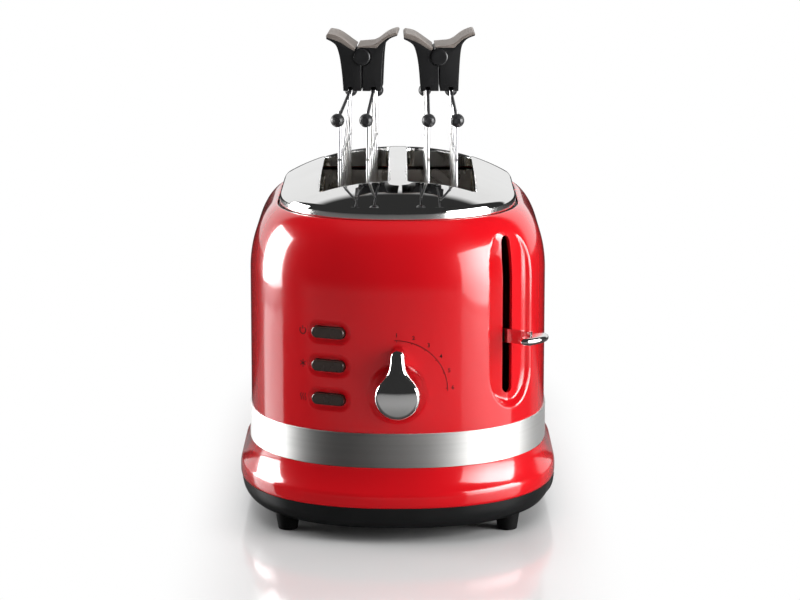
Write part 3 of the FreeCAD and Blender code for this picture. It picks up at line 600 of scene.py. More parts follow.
skirt = {"profile": [(43.5, 88.1), (44.0, 88.5), (42.0, 88.7), (40.0, 89.1), (38.0, 89.7), (36.0, 90.45),
                     (34.0, 91.4), (32.4, 92.3), (31.0, 93.3), (30.5, 93.62), (30.1, 93.83), (29.6, 94.02),
                     (29.0, 94.18), (28.2, 94.32), (27.2, 94.4), (24.5, 94.4), (23.2, 94.32), (22.4, 94.15),
                     (21.9, 93.9), (21.5, 93.5)],
         "inside": [(21.5, 91.6), (24.0, 92.0), (28.0, 91.8), (33.0, 90.3), (38.0, 88.3), (42.0, 86.6),
                    (43.5, 85.6)],
         "spigotTop": 47.0, "spigotFoot": 43.4, "spigotHalf": 87.5, "spigotInside": 85.4,
         "inletX": -34.0, "inletZ": 33.0, "inletHalf": 92.5, "inletAngle": 15.0, "inletRadius": 5.6}
finePlan = planStations(lambda x: 2.2, lambda x: 2.6, 10)


def buildSkirt():
    top, half, power = skirt["spigotTop"], skirt["spigotHalf"], case["endPower"]
    outline = [(top, half), (skirt["spigotFoot"], half), *skirt["profile"], *skirt["inside"],
               (top, skirt["spigotInside"])]
    piece = ringPiece("skirtRing", [planRing(finePlan, h, z) for z, h in reversed(outline)], wrap=True)
    y = case["straightHalf"] + (case["endDepth"] - case["halfWidth"] + skirt["inletHalf"]) * (
        1.0 - (abs(skirt["inletX"]) / skirt["inletHalf"]) ** power) ** (1.0 / power)
    angle, radius = math.radians(skirt["inletAngle"]), skirt["inletRadius"]
    carve(piece, pillCutter("inletCut", (skirt["inletX"], y), (-math.sin(angle), math.cos(angle)),
                            (math.cos(angle), math.sin(angle)), skirt["inletZ"], radius, radius, 12.0, 12.0))
    smoothUpTo(piece, 38.0)
    return piece


skirtRing = buildSkirt()
finishPiece(skirtRing, redEnamel, "case", "red_enamel", "skirt")

band = {"low": 44.05, "high": 64.0, "inner": 87.62, "outer": 88.45, "edge": 0.35, "ease": (0.1, 0.12)}


def buildBand():
    low, high, outer, edge = band["low"], band["high"], band["outer"], band["edge"]
    up, back = band["ease"]
    outline = [(low, band["inner"]), (low, outer - edge), (low + up, outer - back), (low + edge, outer)]
    outline += [(low + edge + (high - low - 2 * edge) * k, outer) for k in (0.015, 0.05, 0.5, 0.95, 0.985, 1)]
    outline += [(high - up, outer - back), (high, outer - edge), (high, band["inner"])]
    rings = [planRing(finePlan, half, z) for z, half in outline]
    return ringPiece("metalBand", rings, wrap=True, smooth=38.0)


brushedSteel = brushedFinish("brushedBand", (0.72, 0.72, 0.71), (0.6, 0.6, 0.59), roughness=(0.62, 0.7),
                             touched=0.04, bump=0.15, stretch=(6.0, 6.0, 2600.0), anisotropic=0.72)
metalBand = buildBand()
finishPiece(metalBand, brushedSteel, "case", "brushed_band", "metal_band")
print("skirt and band turned")

# domed chrome lid with two collared slots

lid = {"crown": 205.3, "drop": 15.65, "dropHalf": 70.0, "dropPower": 2.64, "endExtra": 8.4,
       "edgeHalf": 68.6, "underHalf": 67.4, "slotX": (5.8, 45.2), "slotY": (-74.5, 66.0), "corner": 3.0,
       "collarLow": 191.0, "collarHigh": 200.0, "collarEase": 0.2, "wall": 1.2, "roll": 1.7,
       "rings": (67.8, 66.8, 65.6, 64.2, 62.6, 60.6, 58.0, 55.0), "grid": 3.4, "underGrid": 7.0,
       "grows": (0.06, 0.2, 0.42, 0.7, 1.0, 1.35, 1.75, 2.6, 4.2),
       "rim": ((69.2, 189.7), (69.6, 188.9), (69.85, 187.9), (69.9, 187.0), (69.9, 185.0), (69.9, 183.2),
               (69.75, 182.85), (69.4, 182.8), (68.9, 182.9), (68.7, 183.4), (68.6, 186.0), (68.2, 188.6))}


def domeZ(halfWidth):
    return lid["crown"] - lid["drop"] * (halfWidth / lid["dropHalf"]) ** lid["dropPower"]


def ringThrough(x, y):  # half width of the outline that passes through a point
    along = max(abs(y) - case["straightHalf"], 0.0)
    low, high, power = max(abs(x), along - lid["endExtra"], 0.05), 75.0, case["endPower"]
    for _ in range(34):
        middle = 0.5 * (low + high)
        inside = (abs(x) / middle) ** power + (along / (middle + lid["endExtra"])) ** power < 1.0
        low, high = (low, middle) if inside else (middle, high)
    return high


def slotDistance(x, y):  # distance outside the nearer bread slot, negative inside
    (x0, x1), (y0, y1), corner = lid["slotX"], lid["slotY"], lid["corner"]
    dx = abs(abs(x) - 0.5 * (x0 + x1)) - 0.5 * (x1 - x0) + corner
    dy = abs(y - 0.5 * (y0 + y1)) - 0.5 * (y1 - y0) + corner
    return math.hypot(max(dx, 0.0), max(dy, 0.0)) + min(max(dx, dy), 0.0) - corner


def slotLoop(side, grow):  # anticlockwise outline of one slot, grown outwards
    x0, x1 = lid["slotX"] if side > 0 else (-lid["slotX"][1], -lid["slotX"][0])
    y0, y1 = lid["slotY"]
    c, r = lid["corner"], lid["corner"] + grow
    centres = [(x1 - c, y0 + c), (x1 - c, y1 - c), (x0 + c, y1 - c), (x0 + c, y0 + c)]
    loop = []
    for n, (cx, cy) in enumerate(centres):
        for k in range(9):
            angle = math.radians(90.0 * (n - 1) + 90.0 * k / 8)
            loop.append((cx + r * math.cos(angle), cy + r * math.sin(angle)))
        (nx, ny), angle = centres[(n + 1) % 4], math.radians((0.0, 90.0, 180.0, -90.0)[n])
        a, b = loop[-1], (nx + r * math.cos(angle), ny + r * math.sin(angle))
        count = max(int(math.dist(a, b) / 2.4), 1)
        loop.extend((a[0] + (b[0] - a[0]) * k / count, a[1] + (b[1] - a[1]) * k / count)
                    for k in range(1, count))
    return loop


def lidSheet(edgeHalf, grow, heightAt, freeRings, freeGrows, gridStep):  # triangles round both slots
    loops = [[p[:2] for p in planRing(coarsePlan, edgeHalf, 0.0)], slotLoop(-1, grow), slotLoop(1, grow)]
    flat, edges, spans = [], [], []
    for loop in loops:
        start, count = len(flat), len(loop)
        flat += [Vector(p) for p in loop]
        edges += [(start + k, start + (k + 1) % count) for k in range(count)]
        spans.append(range(start, start + count))
    reach = max(freeGrows) + grow
    for half in freeRings:
        flat += [Vector(p[:2]) for p in planRing(coarsePlan, half, 0.0) if slotDistance(*p[:2]) > reach + 0.8]
    for extra in freeGrows:
        for side in (-1, 1):
            flat += [Vector(p) for p in slotLoop(side, grow + extra) if abs(p[0]) > 0.3]
    inside, steps = min(freeRings) - 1.5, int(130.0 / gridStep)
    for x in (i * gridStep for i in range(-steps, steps + 1)):
        for y in (k * gridStep for k in range(-steps, steps + 1)):
            if (abs(x) < 70.0 and abs(y) < 108.0 and slotDistance(x, y) > reach + 1.2
                    and ringThrough(x, y) < inside):
                flat.append(Vector((x, y)))
    corners, _, triangles, originals, _, _ = delaunay_2d_cdt(flat, edges, [], 0, 1e-5)
    order = {}
    for new, old in enumerate(originals):
        for o in old:
            order.setdefault(o, new)
    faces = []
    for triangle in triangles:
        mx, my = (sum(corners[i][axis] for i in triangle) / 3.0 for axis in (0, 1))
        if slotDistance(mx, my) > grow - 0.01 and ringThrough(mx, my) < edgeHalf + 0.05:
            faces.append(tuple(triangle))
    return [(c.x, c.y, heightAt(c.x, c.y)) for c in corners], faces, [[order[k] for k in s] for s in spans]


def topHeight(x, y):
    s, roll = max(slotDistance(x, y), 0.0), lid["roll"]
    return domeZ(ringThrough(x, y)) - (roll - math.sqrt(max(roll * roll - (roll - min(s, roll)) ** 2, 0.0)))


def underHeight(x, y):
    return domeZ(ringThrough(x, y)) - lid["wall"]


def buildLid():
    points, faces, tops = lidSheet(lid["edgeHalf"], 0.0, topHeight, lid["rings"], lid["grows"], lid["grid"])
    under, underFaces, unders = lidSheet(lid["underHalf"], lid["wall"], underHeight, (64.0, 58.0), (2.5,),
                                         lid["underGrid"])
    shift = len(points)
    points += under
    faces += [tuple(i + shift for i in reversed(f)) for f in underFaces]

    def bridge(n, rings):  # walls from a loop of the top, down through the rings, to a loop underneath
        chain = [tops[n]]
        for ring in rings:
            chain.append(range(len(points), len(points) + len(ring)))
            points.extend(ring)
        chain.append([i + shift for i in unders[n]])
        for high, low in zip(chain, chain[1:]):
            count = len(high)
            faces.extend((low[k], low[(k + 1) % count], high[(k + 1) % count], high[k]) for k in range(count))

    bridge(0, [planRing(coarsePlan, half, z) for half, z in lid["rim"]])
    low, wall, ease = lid["collarLow"], lid["wall"], lid["collarEase"]
    for n, side in ((1, -1), (2, 1)):
        inner = slotLoop(side, 0.0)
        rings = [[(*p, min(topHeight(*p) - 0.6, lid["collarHigh"])) for p in inner]]
        rings += [[(*p, z) for p in slotLoop(side, grow)]
                  for grow, z in ((0.0, low + ease), (ease, low), (wall - ease, low), (wall, low + ease))]
        bridge(n, rings)
    piece = addMesh("chromeLid", points, faces)
    tidyMesh(piece)
    smoothUpTo(piece, 40.0)
    return piece


lidChrome = mirrorFinish("lidChrome", (0.9, 0.9, 0.89), (0.84, 0.84, 0.83), roughness=(0.015, 0.05),
                         smudgeScale=14.0, dustShare=0.05, swell=16.0, bump=0.02, satinBelow=0.1877,
                         satin=0.2)
chromeLid = buildLid()
finishPiece(chromeLid, lidChrome, "case", "chrome", "chrome_top")
print("lid drawn:", len(chromeLid.data.polygons), "faces")


# printed dial scale and button symbols, a hair proud of the enamel

dial = {"centreX": -1.0, "centreZ": 88.5, "radius": 29.6, "line": 0.34, "from": -2.0, "to": 90.0,
        "numberRadius": 32.6, "numberSize": 3.3, "numberAngles": (1.0, 18.0, 35.0, 52.0, 69.0, 87.0),
        "tick": 1.0, "lift": 0.05, "symbolX": -54.0, "symbolSize": 2.1, "boldness": 0.00004}


def strokeRibbon(line, width):  # flat ribbon in the front plane
    count, left, right = len(line), [], []
    for k, (x, z) in enumerate(line):
        a, b = line[max(k - 1, 0)], line[min(k + 1, count - 1)]
        dx, dz = b[0] - a[0], b[1] - a[1]
        size = math.hypot(dx, dz)
        left.append((x - dz / size * 0.5 * width, z + dx / size * 0.5 * width))
        right.append((x + dz / size * 0.5 * width, z - dx / size * 0.5 * width))
    return left + right, [(k, k + count, k + 1 + count, k + 1) for k in range(count - 1)]


def buildPrint():
    def polar(angle, radius):
        turn = math.radians(angle)
        return dial["centreX"] + radius * math.sin(turn), dial["centreZ"] + radius * math.cos(turn)

    first, last, radius = dial["from"], dial["to"], dial["radius"]
    lines = [([polar(first + (last - first) * k / 72.0, radius) for k in range(73)], dial["line"])]
    lines += [([polar(angle, radius - 0.1), polar(angle, radius - dial["tick"])], 0.3)
              for angle in dial["numberAngles"]]
    sx, size = dial["symbolX"], dial["symbolSize"]
    top, middle, bottom = shell["buttonHeights"]
    lines.append(([(sx + size * 0.8 * math.sin(math.radians(a)), top + size * math.cos(math.radians(a)))
                   for a in range(38, 323, 15)], 0.5))
    lines.append(([(sx, top + 0.3 * size), (sx, top + 1.25 * size)], 0.5))
    for a in (0, 60, 120):
        dx, dz = 0.85 * size * math.sin(math.radians(a)), 1.1 * size * math.cos(math.radians(a))
        lines.append(([(sx - dx, middle - dz), (sx, middle), (sx + dx, middle + dz)], 0.42))
    lines += [([(sx + shift + 0.35 * math.sin(k * 0.9), bottom - size + 2.0 * size * k / 8.0)
                for k in range(9)], 0.4) for shift in (-1.3, 0.0, 1.3)]
    points, faces, numbers = [], [], []
    for line, width in lines:
        flat, some = strokeRibbon(line, width)
        shift = len(points)
        points.extend((x, frontY(x) - dial["lift"], z) for x, z in flat)
        faces.extend(tuple(i + shift for i in f) for f in some)
    piece = addMesh("dialPrint", points, faces)
    for n, angle in enumerate(dial["numberAngles"]):
        text = bpy.data.curves.new("number", "FONT")
        text.body, text.size, text.offset = str(n + 1), dial["numberSize"] * mm, dial["boldness"]
        text.align_x, text.align_y = "CENTER", "CENTER"
        holder = addObject("number", text)
        mesh = bpy.data.meshes.new_from_object(holder.evaluated_get(bpy.context.evaluated_depsgraph_get()))
        bpy.data.objects.remove(holder)
        x, z = polar(angle, dial["numberRadius"])
        for vertex in mesh.vertices:
            px, pz = x + vertex.co.x / mm, z + vertex.co.y / mm
            vertex.co = (px * mm, (frontY(px) - dial["lift"]) * mm, pz * mm)
        numbers.append(addObject("number", mesh))
    joinInto(piece, numbers)
    return piece


printInk = mouldedFinish("printInk", (0.006, 0.004, 0.004), (0.014, 0.006, 0.006), 2500.0, (0.5, 0.65), 0.1,
                         dustShare=0.0, ior=1.2)
dialPrint = buildPrint()
finishPiece(dialPrint, printInk, "case", "black_plastic")

# chrome teardrop knob

knob = {"z": 87.5, "radius": 12.8, "tipRise": 26.8, "tipRadius": 3.9, "flank": 38.0, "backY": -124.6,
        "depth": 13.4, "stem": 5.0, "roll": 2.6, "crownRise": 0.5, "fallFrom": 1.5, "fall": 0.18}


def knobOutline():
    tipZ = knob["tipRise"] - knob["tipRadius"]
    flank = math.radians(knob["flank"])
    lx, lz = knob["radius"] * math.cos(flank), knob["radius"] * math.sin(flank)
    mx, mz = lx * 0.44 + knob["tipRadius"] * 0.56 - 1.5, lz * 0.44 + tipZ * 0.56 - 1.5
    outline = [(knob["radius"] * math.cos(a), knob["radius"] * math.sin(a))
               for a in (math.radians(-90.0 + 128.0 * k / 40.0) for k in range(41))]
    bow = throughPoints([(lx + 1.6, lz - 2.6), (lx, lz), (mx, mz), (knob["tipRadius"], tipZ),
                         (knob["tipRadius"] - 0.15, tipZ + 1.2)], 12)
    outline += bow[13:37]
    outline += [(knob["tipRadius"] * math.cos(a), tipZ + knob["tipRadius"] * math.sin(a))
                for a in (math.radians(90.0 * k / 12.0) for k in range(13))]
    return outline + [(-x, z) for x, z in reversed(outline[1:-1])]


def buildKnob():
    outline, back, roll = knobOutline(), knob["backY"], knob["roll"]
    tipZ, count = knob["tipRise"] - knob["tipRadius"], len(outline)
    rings = [[(x, y, knob["z"] + z) for x, z in outline] for y in (back, back - knob["stem"])]

    def addRing(shareAt, sunkAt):  # a share of 0 is the outline and 1 the knob's spine
        ring = []
        for x, z in outline:
            cz = min(max(z, 0.0), tipZ)
            share = shareAt(math.hypot(x, z - cz))
            px, pz = x * (1.0 - share), z + (cz - z) * share
            past = pz - knob["fallFrom"]
            fall = ramp(pz, knob["fallFrom"], 9.0) * past * knob["fall"] if past > 0.0 else 0.0
            ring.append((px, back - (knob["depth"] - fall) + sunkAt(pz), knob["z"] + pz))
        rings.append(ring)

    for a in (math.radians(90.0 * k / 9.0) for k in range(10)):
        inset, sunk = roll * (1.0 - math.cos(a)), roll * (1.0 - math.sin(a))
        addRing(lambda reach: min(inset / reach, 1.0), lambda z: sunk)
    for share in (0.2, 0.4, 0.6, 0.8, 0.93):
        rise = knob["crownRise"] * (1.0 - (1.0 - share) ** 2)
        addRing(lambda reach: roll / reach + (1.0 - roll / reach) * share,
                lambda z: -(rise * (1.0 - ramp(z, 0.0, 12.0))))
    piece = addMesh("chromeKnob", *closedStack(rings, wrap=False))
    mesh = bmesh.new()
    mesh.from_mesh(piece.data)
    mesh.verts.ensure_lookup_table()
    last = [mesh.verts[(len(rings) - 1) * count + k] for k in range(count)]
    half = count // 2
    for k in range(1, half):  # closes the middle across its long line
        corners = []
        for v in (last[k - 1], last[k], last[(count - k) % count], last[(count - k + 1) % count]):
            if v not in corners:
                corners.append(v)
        if len(corners) > 2:
            mesh.faces.new(corners)
    mesh.faces.new([last[half - 1], last[half], last[(half + 1) % count]])
    mesh.faces.new([mesh.verts[k] for k in reversed(range(count))])
    mesh.to_mesh(piece.data)
    mesh.free()
    tidyMesh(piece)
    smoothUpTo(piece, 50.0)
    return piece


knobChrome = mirrorFinish("knobChrome", (0.88, 0.88, 0.87), (0.8, 0.8, 0.79), roughness=(0.08, 0.14),
                          smudgeScale=60.0, dustShare=0.02, swell=60.0, bump=0.004)
chromeKnob = buildKnob()
finishPiece(chromeKnob, knobChrome, "knob", "chrome", "browning_knob")

# oval finger pad of the lever

lever = {"z": 115.4, "reach": 14.8, "halfLong": 12.0, "halfDeep": 5.5, "thick": 4.2, "roll": 2.05,
         "dome": 0.25, "sink": 0.12}


def buildPaddle():
    (cx, cy), (nx, ny), (tx, ty) = recessFrame
    cx, cy = cx + nx * lever["reach"], cy + ny * lever["reach"]
    half, roll, shares = 0.5 * lever["thick"], lever["roll"], (0.75, 0.5, 0.25)
    flatLong, flatDeep = lever["halfLong"] - roll, lever["halfDeep"] - roll
    sizes = [(flatLong * share, flatDeep * share, -half) for share in shares]
    for a in (math.pi * k / 16.0 for k in range(17)):
        inset = roll * (1.0 - math.sin(a))
        sizes.append((lever["halfLong"] - inset, lever["halfDeep"] - inset, -half * math.cos(a)))
    sizes += [(flatLong * share, flatDeep * share, half + lever["dome"] * (1.0 - share ** 2) - lever["sink"])
              for share in shares]
    rings = []
    for a, b, high in sizes:
        ring = []
        for turn in (math.tau * k / 72 for k in range(72)):
            u, v = a * math.cos(turn), b * math.sin(turn)
            ring.append((cx + tx * u + nx * v, cy + ty * u + ny * v, lever["z"] + high))
        rings.append(ring)
    return ringPiece("leverPad", rings, smooth=50.0)


leverPad = buildPaddle()
finishPiece(leverPad, knobChrome, "carriage", "chrome", "lever_handle")
print("scale, knob and lever pad made")

# sandwich tongs: grip halves, soft pads, pins, wire cages and coated rests

tong = {"laneX": {"left": -23.7, "right": 25.5}, "baseY": -4.0, "lean": {"left": 3.05, "right": -1.0},
        "turn": {"left": -1.8, "right": 0.4}, "split": -0.35, "bottomZ": 248.3, "pivotZ": 268.5,
        "frontY": -19.0, "rearY": 19.0, "knuckle": 5.3, "knuckleFit": 0.35, "knuckleGap": (0.1, 0.25),
        "headRadius": 4.88, "headDepth": 1.0, "pinRadius": 1.6, "mouthY": (-18.0, 18.0),
        "cageX": -8.2, "foot": 5.6, "wire": 0.95, "hangerWire": 0.76, "bead": 1.2, "cageLow": 72.6,
        "cageHigh": 212.8, "crossZ": (108.0, 143.0, 178.0), "rows": (-58.0, -34.0, -10.0, 14.0, 38.0, 62.0),
        "hangers": (-10.0, 12.0), "restWire": 0.9, "restX": -6.8, "ballZ": 238.1, "ballRadius": 3.96,
        "ballY": (-78.0, 78.0), "rounding": 1.0, "padRounding": 0.35, "bevelAngle": 32.0}
gripFlank = {"left": [(-11.0, 248.3), (-11.7, 257.5), (-12.9, 267.0), (-14.2, 272.6), (-15.6, 275.6),
                      (-17.8, 277.4), (-21.0, 279.0)],
             "right": [(-11.3, 248.3), (-11.7, 258.0), (-12.2, 267.0), (-12.8, 272.7), (-13.8, 276.3),
                       (-16.6, 279.3), (-20.9, 281.1)]}
saddle = {"left": [(-21.1, 280.0), (-17.6, 278.9), (-12.8, 277.0), (-9.9, 275.2), (-6.9, 273.4),
                   (-4.7, 272.2)],
          "right": [(-21.1, 281.8), (-17.8, 280.7), (-15.0, 279.5), (-12.1, 277.3), (-8.8, 273.9)]}
padTip = {"left": [(-20.5, 282.0), (-21.0, 281.3), (-21.15, 280.6)],
          "right": [(-20.6, 282.8), (-20.9, 282.5), (-21.05, 282.2)]}
crest = {"left": [(-19.6, 282.3), (-15.9, 281.6), (-12.9, 280.2), (-9.9, 278.2), (-6.9, 276.0),
                  (-3.7, 273.7)],
         "right": [(-20.0, 283.0), (-17.8, 282.4), (-15.0, 281.2), (-12.1, 279.3), (-9.4, 277.2),
                   (-6.4, 275.7), (-2.0, 275.2), (2.7, 274.8)]}
padFloor = 273.9


def tongPoint(side, flip, x, y, z):
    turn = math.radians(tong["turn"][side])
    x = -x if flip else x
    px, py = x * math.cos(turn) - y * math.sin(turn), x * math.sin(turn) + y * math.cos(turn)
    return px + tong["laneX"][side], py + tong["baseY"], z


def tongLean(side, flip):
    return tong["lean"][side] * (-1 if flip else 1)


def placeTong(piece, side, flip, lean):
    for vertex in piece.data.vertices:
        x, y, z = vertex.co / mm
        vertex.co = Vector(tongPoint(side, flip, x + lean, y, z)) * mm
    tidyMesh(piece)


def profileBlock(name, outline, y0, y1, rounding):
    count = len(outline)
    points = [(x, y, z) for y in (y0, y1) for x, z in outline]
    faces = [tuple(range(count)), tuple(range(2 * count - 1, count - 1, -1))]
    faces += [(k, k + count, (k + 1) % count + count, (k + 1) % count) for k in range(count)]
    piece = addMesh(name, points, faces)
    tidyMesh(piece)
    bevel = piece.modifiers.new("round", "BEVEL")
    bevel.width, bevel.segments, bevel.limit_method = rounding * mm, 4, "ANGLE"
    bevel.angle_limit = math.radians(tong["bevelAngle"])
    bakeModifiers(piece)
    return piece


def latheAlongY(name, profile, z, count, x=0.0):  # profile of (radius, y) from one closed end to the other
    turns = [math.tau * k / count for k in range(count)]
    rings = [[(x + r * math.cos(a), y, z + r * math.sin(a)) for a in turns] for r, y in profile]
    return ringPiece(name, rings)


def pivotRod(name, y0, y1, radius, count=40):
    return latheAlongY(name, [(radius, y0), (radius, y1)], tong["pivotZ"], count)


knuckleSpans = {"outer": [(-19.0, -10.0), (6.0, 12.0)], "inner": [(-10.0, 6.0), (12.0, 19.0)]}


def buildGrip(side, half, flip):
    kind, other = "right" if flip else "left", "inner" if half == "outer" else "outer"
    split, radius, (gap, room) = tong["split"], tong["knuckle"], tong["knuckleGap"]
    outline = [(split, tong["bottomZ"]), *throughPoints(gripFlank[kind], 5), *throughPoints(saddle[kind], 5),
               (split, padFloor if flip else tong["pivotZ"])]
    piece = profileBlock(side + "Tong" + half.capitalize() + "Grip", outline, tong["frontY"], tong["rearY"],
                         tong["rounding"])
    for y0, y1 in knuckleSpans[half]:
        carve(piece, pivotRod("knuckle", y0 + gap, y1 - gap, radius), "UNION")
    for y0, y1 in knuckleSpans[other]:
        carve(piece, pivotRod("knuckleRoom", y0 - room, y1 + room, radius + tong["knuckleFit"]))
    carve(piece, pivotRod("pinHole", -40.0, 40.0, tong["pinRadius"] + 0.05, 24))
    for y in tong["mouthY"]:  # mouths where the wires come out of the grip
        mouth = [(-8.9, 247.0), (-4.9, 247.0), (-5.4, 250.8), (-8.3, 250.8)]
        carve(piece, profileBlock("mouth", mouth, y - 4.0, y + 4.0, 0.3))
    placeTong(piece, side, flip, tongLean(side, flip))
    smoothUpTo(piece, 38.0)
    return piece


def buildPad(side, half, flip):
    kind = "right" if flip else "left"
    outline = throughPoints(saddle[kind], 6)
    if flip:
        outline.append((crest[kind][-1][0], padFloor + 0.1))
    outline += throughPoints(crest[kind], 6)[::-1] + padTip[kind]
    piece = profileBlock(side + "Tong" + half.capitalize() + "Pad", outline, tong["frontY"], tong["rearY"],
                         tong["padRounding"])
    carve(piece, pivotRod("padRoom", -40.0, 40.0, tong["knuckle"] + tong["knuckleFit"]))
    placeTong(piece, side, flip, tongLean(side, flip))
    smoothUpTo(piece, 38.0)
    return piece


def buildPin(side):
    front, head = tong["frontY"] - 0.1, tong["headRadius"]
    face = front - tong["headDepth"]
    half = [(0.6, face + 0.12), (2.4, face + 0.02), (3.9, face), (head - 0.3, face + 0.12),
            (head, face + 0.42), (head, front - 0.05), (head - 0.15, front), (tong["pinRadius"], front)]
    piece = latheAlongY(side + "TongPin", half + [(r, -y) for r, y in reversed(half)], tong["pivotZ"], 40)
    placeTong(piece, side, False, tong["lean"][side])
    smoothUpTo(piece, 40.0)
    return piece


def addPlain(tree, kind, source, **more):  # a geometry node that takes and gives one geometry
    return addNode(tree, "GeometryNode" + kind, {"Geometry": source, **more}).outputs["Geometry"]


def buildWires(tree, given):  # wires along mesh edges, with rounded corners
    line = addNode(tree, "GeometryNodeMeshToCurve", {"Mesh": given["Geometry"]}).outputs["Curve"]
    bends = {"Curve": line, "Radius": given["Bend Radius"], "Count": 5, "Limit Radius": True}
    corner = addNode(tree, "GeometryNodeFilletCurve", bends, mode="POLY").outputs["Curve"]
    circle = addNode(tree, "GeometryNodeCurvePrimitiveCircle", {"Radius": given["Wire Radius"],
                     "Resolution": given["Round Count"]}).outputs["Curve"]
    body = addNode(tree, "GeometryNodeCurveToMesh", {"Curve": corner, "Profile Curve": circle,
                   "Fill Caps": True}).outputs["Mesh"]
    real = addPlain(tree, "RealizeInstances", addPlain(tree, "SetShadeSmooth", body))
    return [addPlain(tree, "SetMaterial", real, Material=given["Finish"])]


def buildBeads(tree, given):  # weld beads on single points
    ball = addNode(tree, "GeometryNodeMeshIcoSphere", {"Radius": given["Bead Radius"], "Subdivisions": 2})
    span = {"Seed": given["Seed"], 2: maths(tree, "SUBTRACT", 1.0, given["Uneven"]), 3: 1.0}
    size = addNode(tree, "FunctionNodeRandomValue", span, data_type="FLOAT").outputs[1]
    spots = addNode(tree, "GeometryNodeInstanceOnPoints", {"Points": given["Geometry"],
                    "Instance": ball.outputs["Mesh"], "Scale": size}).outputs["Instances"]
    soft = addPlain(tree, "SetShadeSmooth", addPlain(tree, "RealizeInstances", spots))
    return [addPlain(tree, "SetMaterial", soft, Material=given["Finish"])]


def makeGrower(name, inputs, build):
    tree = makeGroup(name, {"Geometry": "Geometry", **inputs, "Finish": "Material"}, {"Geometry": "Geometry"},
                     build, "GeometryNodeTree")
    tree.is_modifier = True
    return tree


def grow(piece, tree, values):  # runs a geometry tree on a piece and keeps its plain mesh
    step = piece.modifiers.new("grow", "NODES")
    step.node_group = tree
    for item in tree.interface.items_tree:
        if item.item_type == "SOCKET" and item.in_out == "INPUT" and item.name in values:
            step[item.identifier] = values[item.name]
    bakeModifiers(piece)


def edgeLines(name, lines):
    points, edges = [], []
    for line in lines:
        edges += [(len(points) + k, len(points) + k + 1) for k in range(len(line) - 1)]
        points += line
    return addMesh(name, points, [], edges)


bentWire = makeGrower("bentWire", {"Wire Radius": 0.00095, "Bend Radius": 0.0022, "Round Count": 10},
                      buildWires)
weldBeads = makeGrower("weldBeads", {"Bead Radius": 0.0014, "Uneven": 0.25, "Seed": 7}, buildBeads)


def armHeight(y):
    ball, root = tong["ballY"][y >= 0], tong["rearY"] - 5.0 if y >= 0 else tong["frontY"] + 5.0
    share = (y - ball) / (root - ball)
    return tong["ballZ"] + share * (tong["bottomZ"] + 0.6 - tong["ballZ"])


def buildCage(side, half, flip, finish):
    def at(x, y, z):
        return tongPoint(side, flip, x, y, z)

    x, low, high, rows = tong["cageX"], tong["cageLow"] + tong["wire"], tong["cageHigh"], tong["rows"]
    name = side + "Tong" + half.capitalize() + "Cage"
    thick = [[at(x, y, armHeight(y) - 0.4 if y in (rows[0], rows[-1]) else high), at(x, y, low),
              at(x + tong["foot"], y, low)] for y in rows]
    thick += [[at(x, rows[0] - 1.6, z), at(x, rows[-1] + 1.6, z)] for z in (low, *tong["crossZ"], high)]
    piece = edgeLines(name, thick)
    grow(piece, bentWire, {"Wire Radius": tong["wire"] * mm, "Bend Radius": 0.0022, "Finish": finish})
    hangers = edgeLines(name + "Hangers", [[at(x, y, high - 2.0), at(x, y, high + 1.5),
                                            at(x + 1.4 + tongLean(side, flip), y, tong["bottomZ"] + 5.5)]
                                           for y in tong["hangers"]])
    grow(hangers, bentWire, {"Wire Radius": tong["hangerWire"] * mm, "Bend Radius": 0.003, "Finish": finish})
    spots = edgeLines(name + "Beads", [[at(x, y, z)] for y in rows for z in (*tong["crossZ"], high)])
    grow(spots, weldBeads, {"Bead Radius": tong["bead"] * mm, "Finish": finish})
    joinInto(piece, [hangers, spots])
    return piece


def buildRests(side, half, flip, finish):
    rootX, foot, r = tong["restX"] + tongLean(side, flip), tong["bottomZ"], tong["ballRadius"]
    profile = [(0.5, -r * 0.90), (1.55, -r * 0.90), (1.75, -r * 0.915)]
    profile += [(r * math.cos(a), r * math.sin(a)) for a in (math.radians(-63.0 + 150.0 * k / 16.0)
                                                               for k in range(17))]
    lines, balls = [], []
    for end, ballY in zip((-1, 1), tong["ballY"]):
        rootY = end * (tong["rearY"] - 5.0)
        lines.append([tongPoint(side, flip, tong["cageX"], ballY, tong["ballZ"]),
                      tongPoint(side, flip, rootX, rootY, foot + 0.6),
                      tongPoint(side, flip, rootX, rootY, foot + 6.5)])
        ball = latheAlongY("ball", [(a, ballY - end * y) for a, y in profile], tong["ballZ"], 28,
                           tong["cageX"])
        placeTong(ball, side, flip, 0.0)
        ball.data.shade_smooth()
        balls.append(ball)
    piece = edgeLines(side + "Tong" + half.capitalize() + "Rests", lines)
    grow(piece, bentWire, {"Wire Radius": tong["restWire"] * mm, "Bend Radius": 0.004, "Round Count": 12,
                           "Finish": finish})
    joinInto(piece, balls)
    return piece


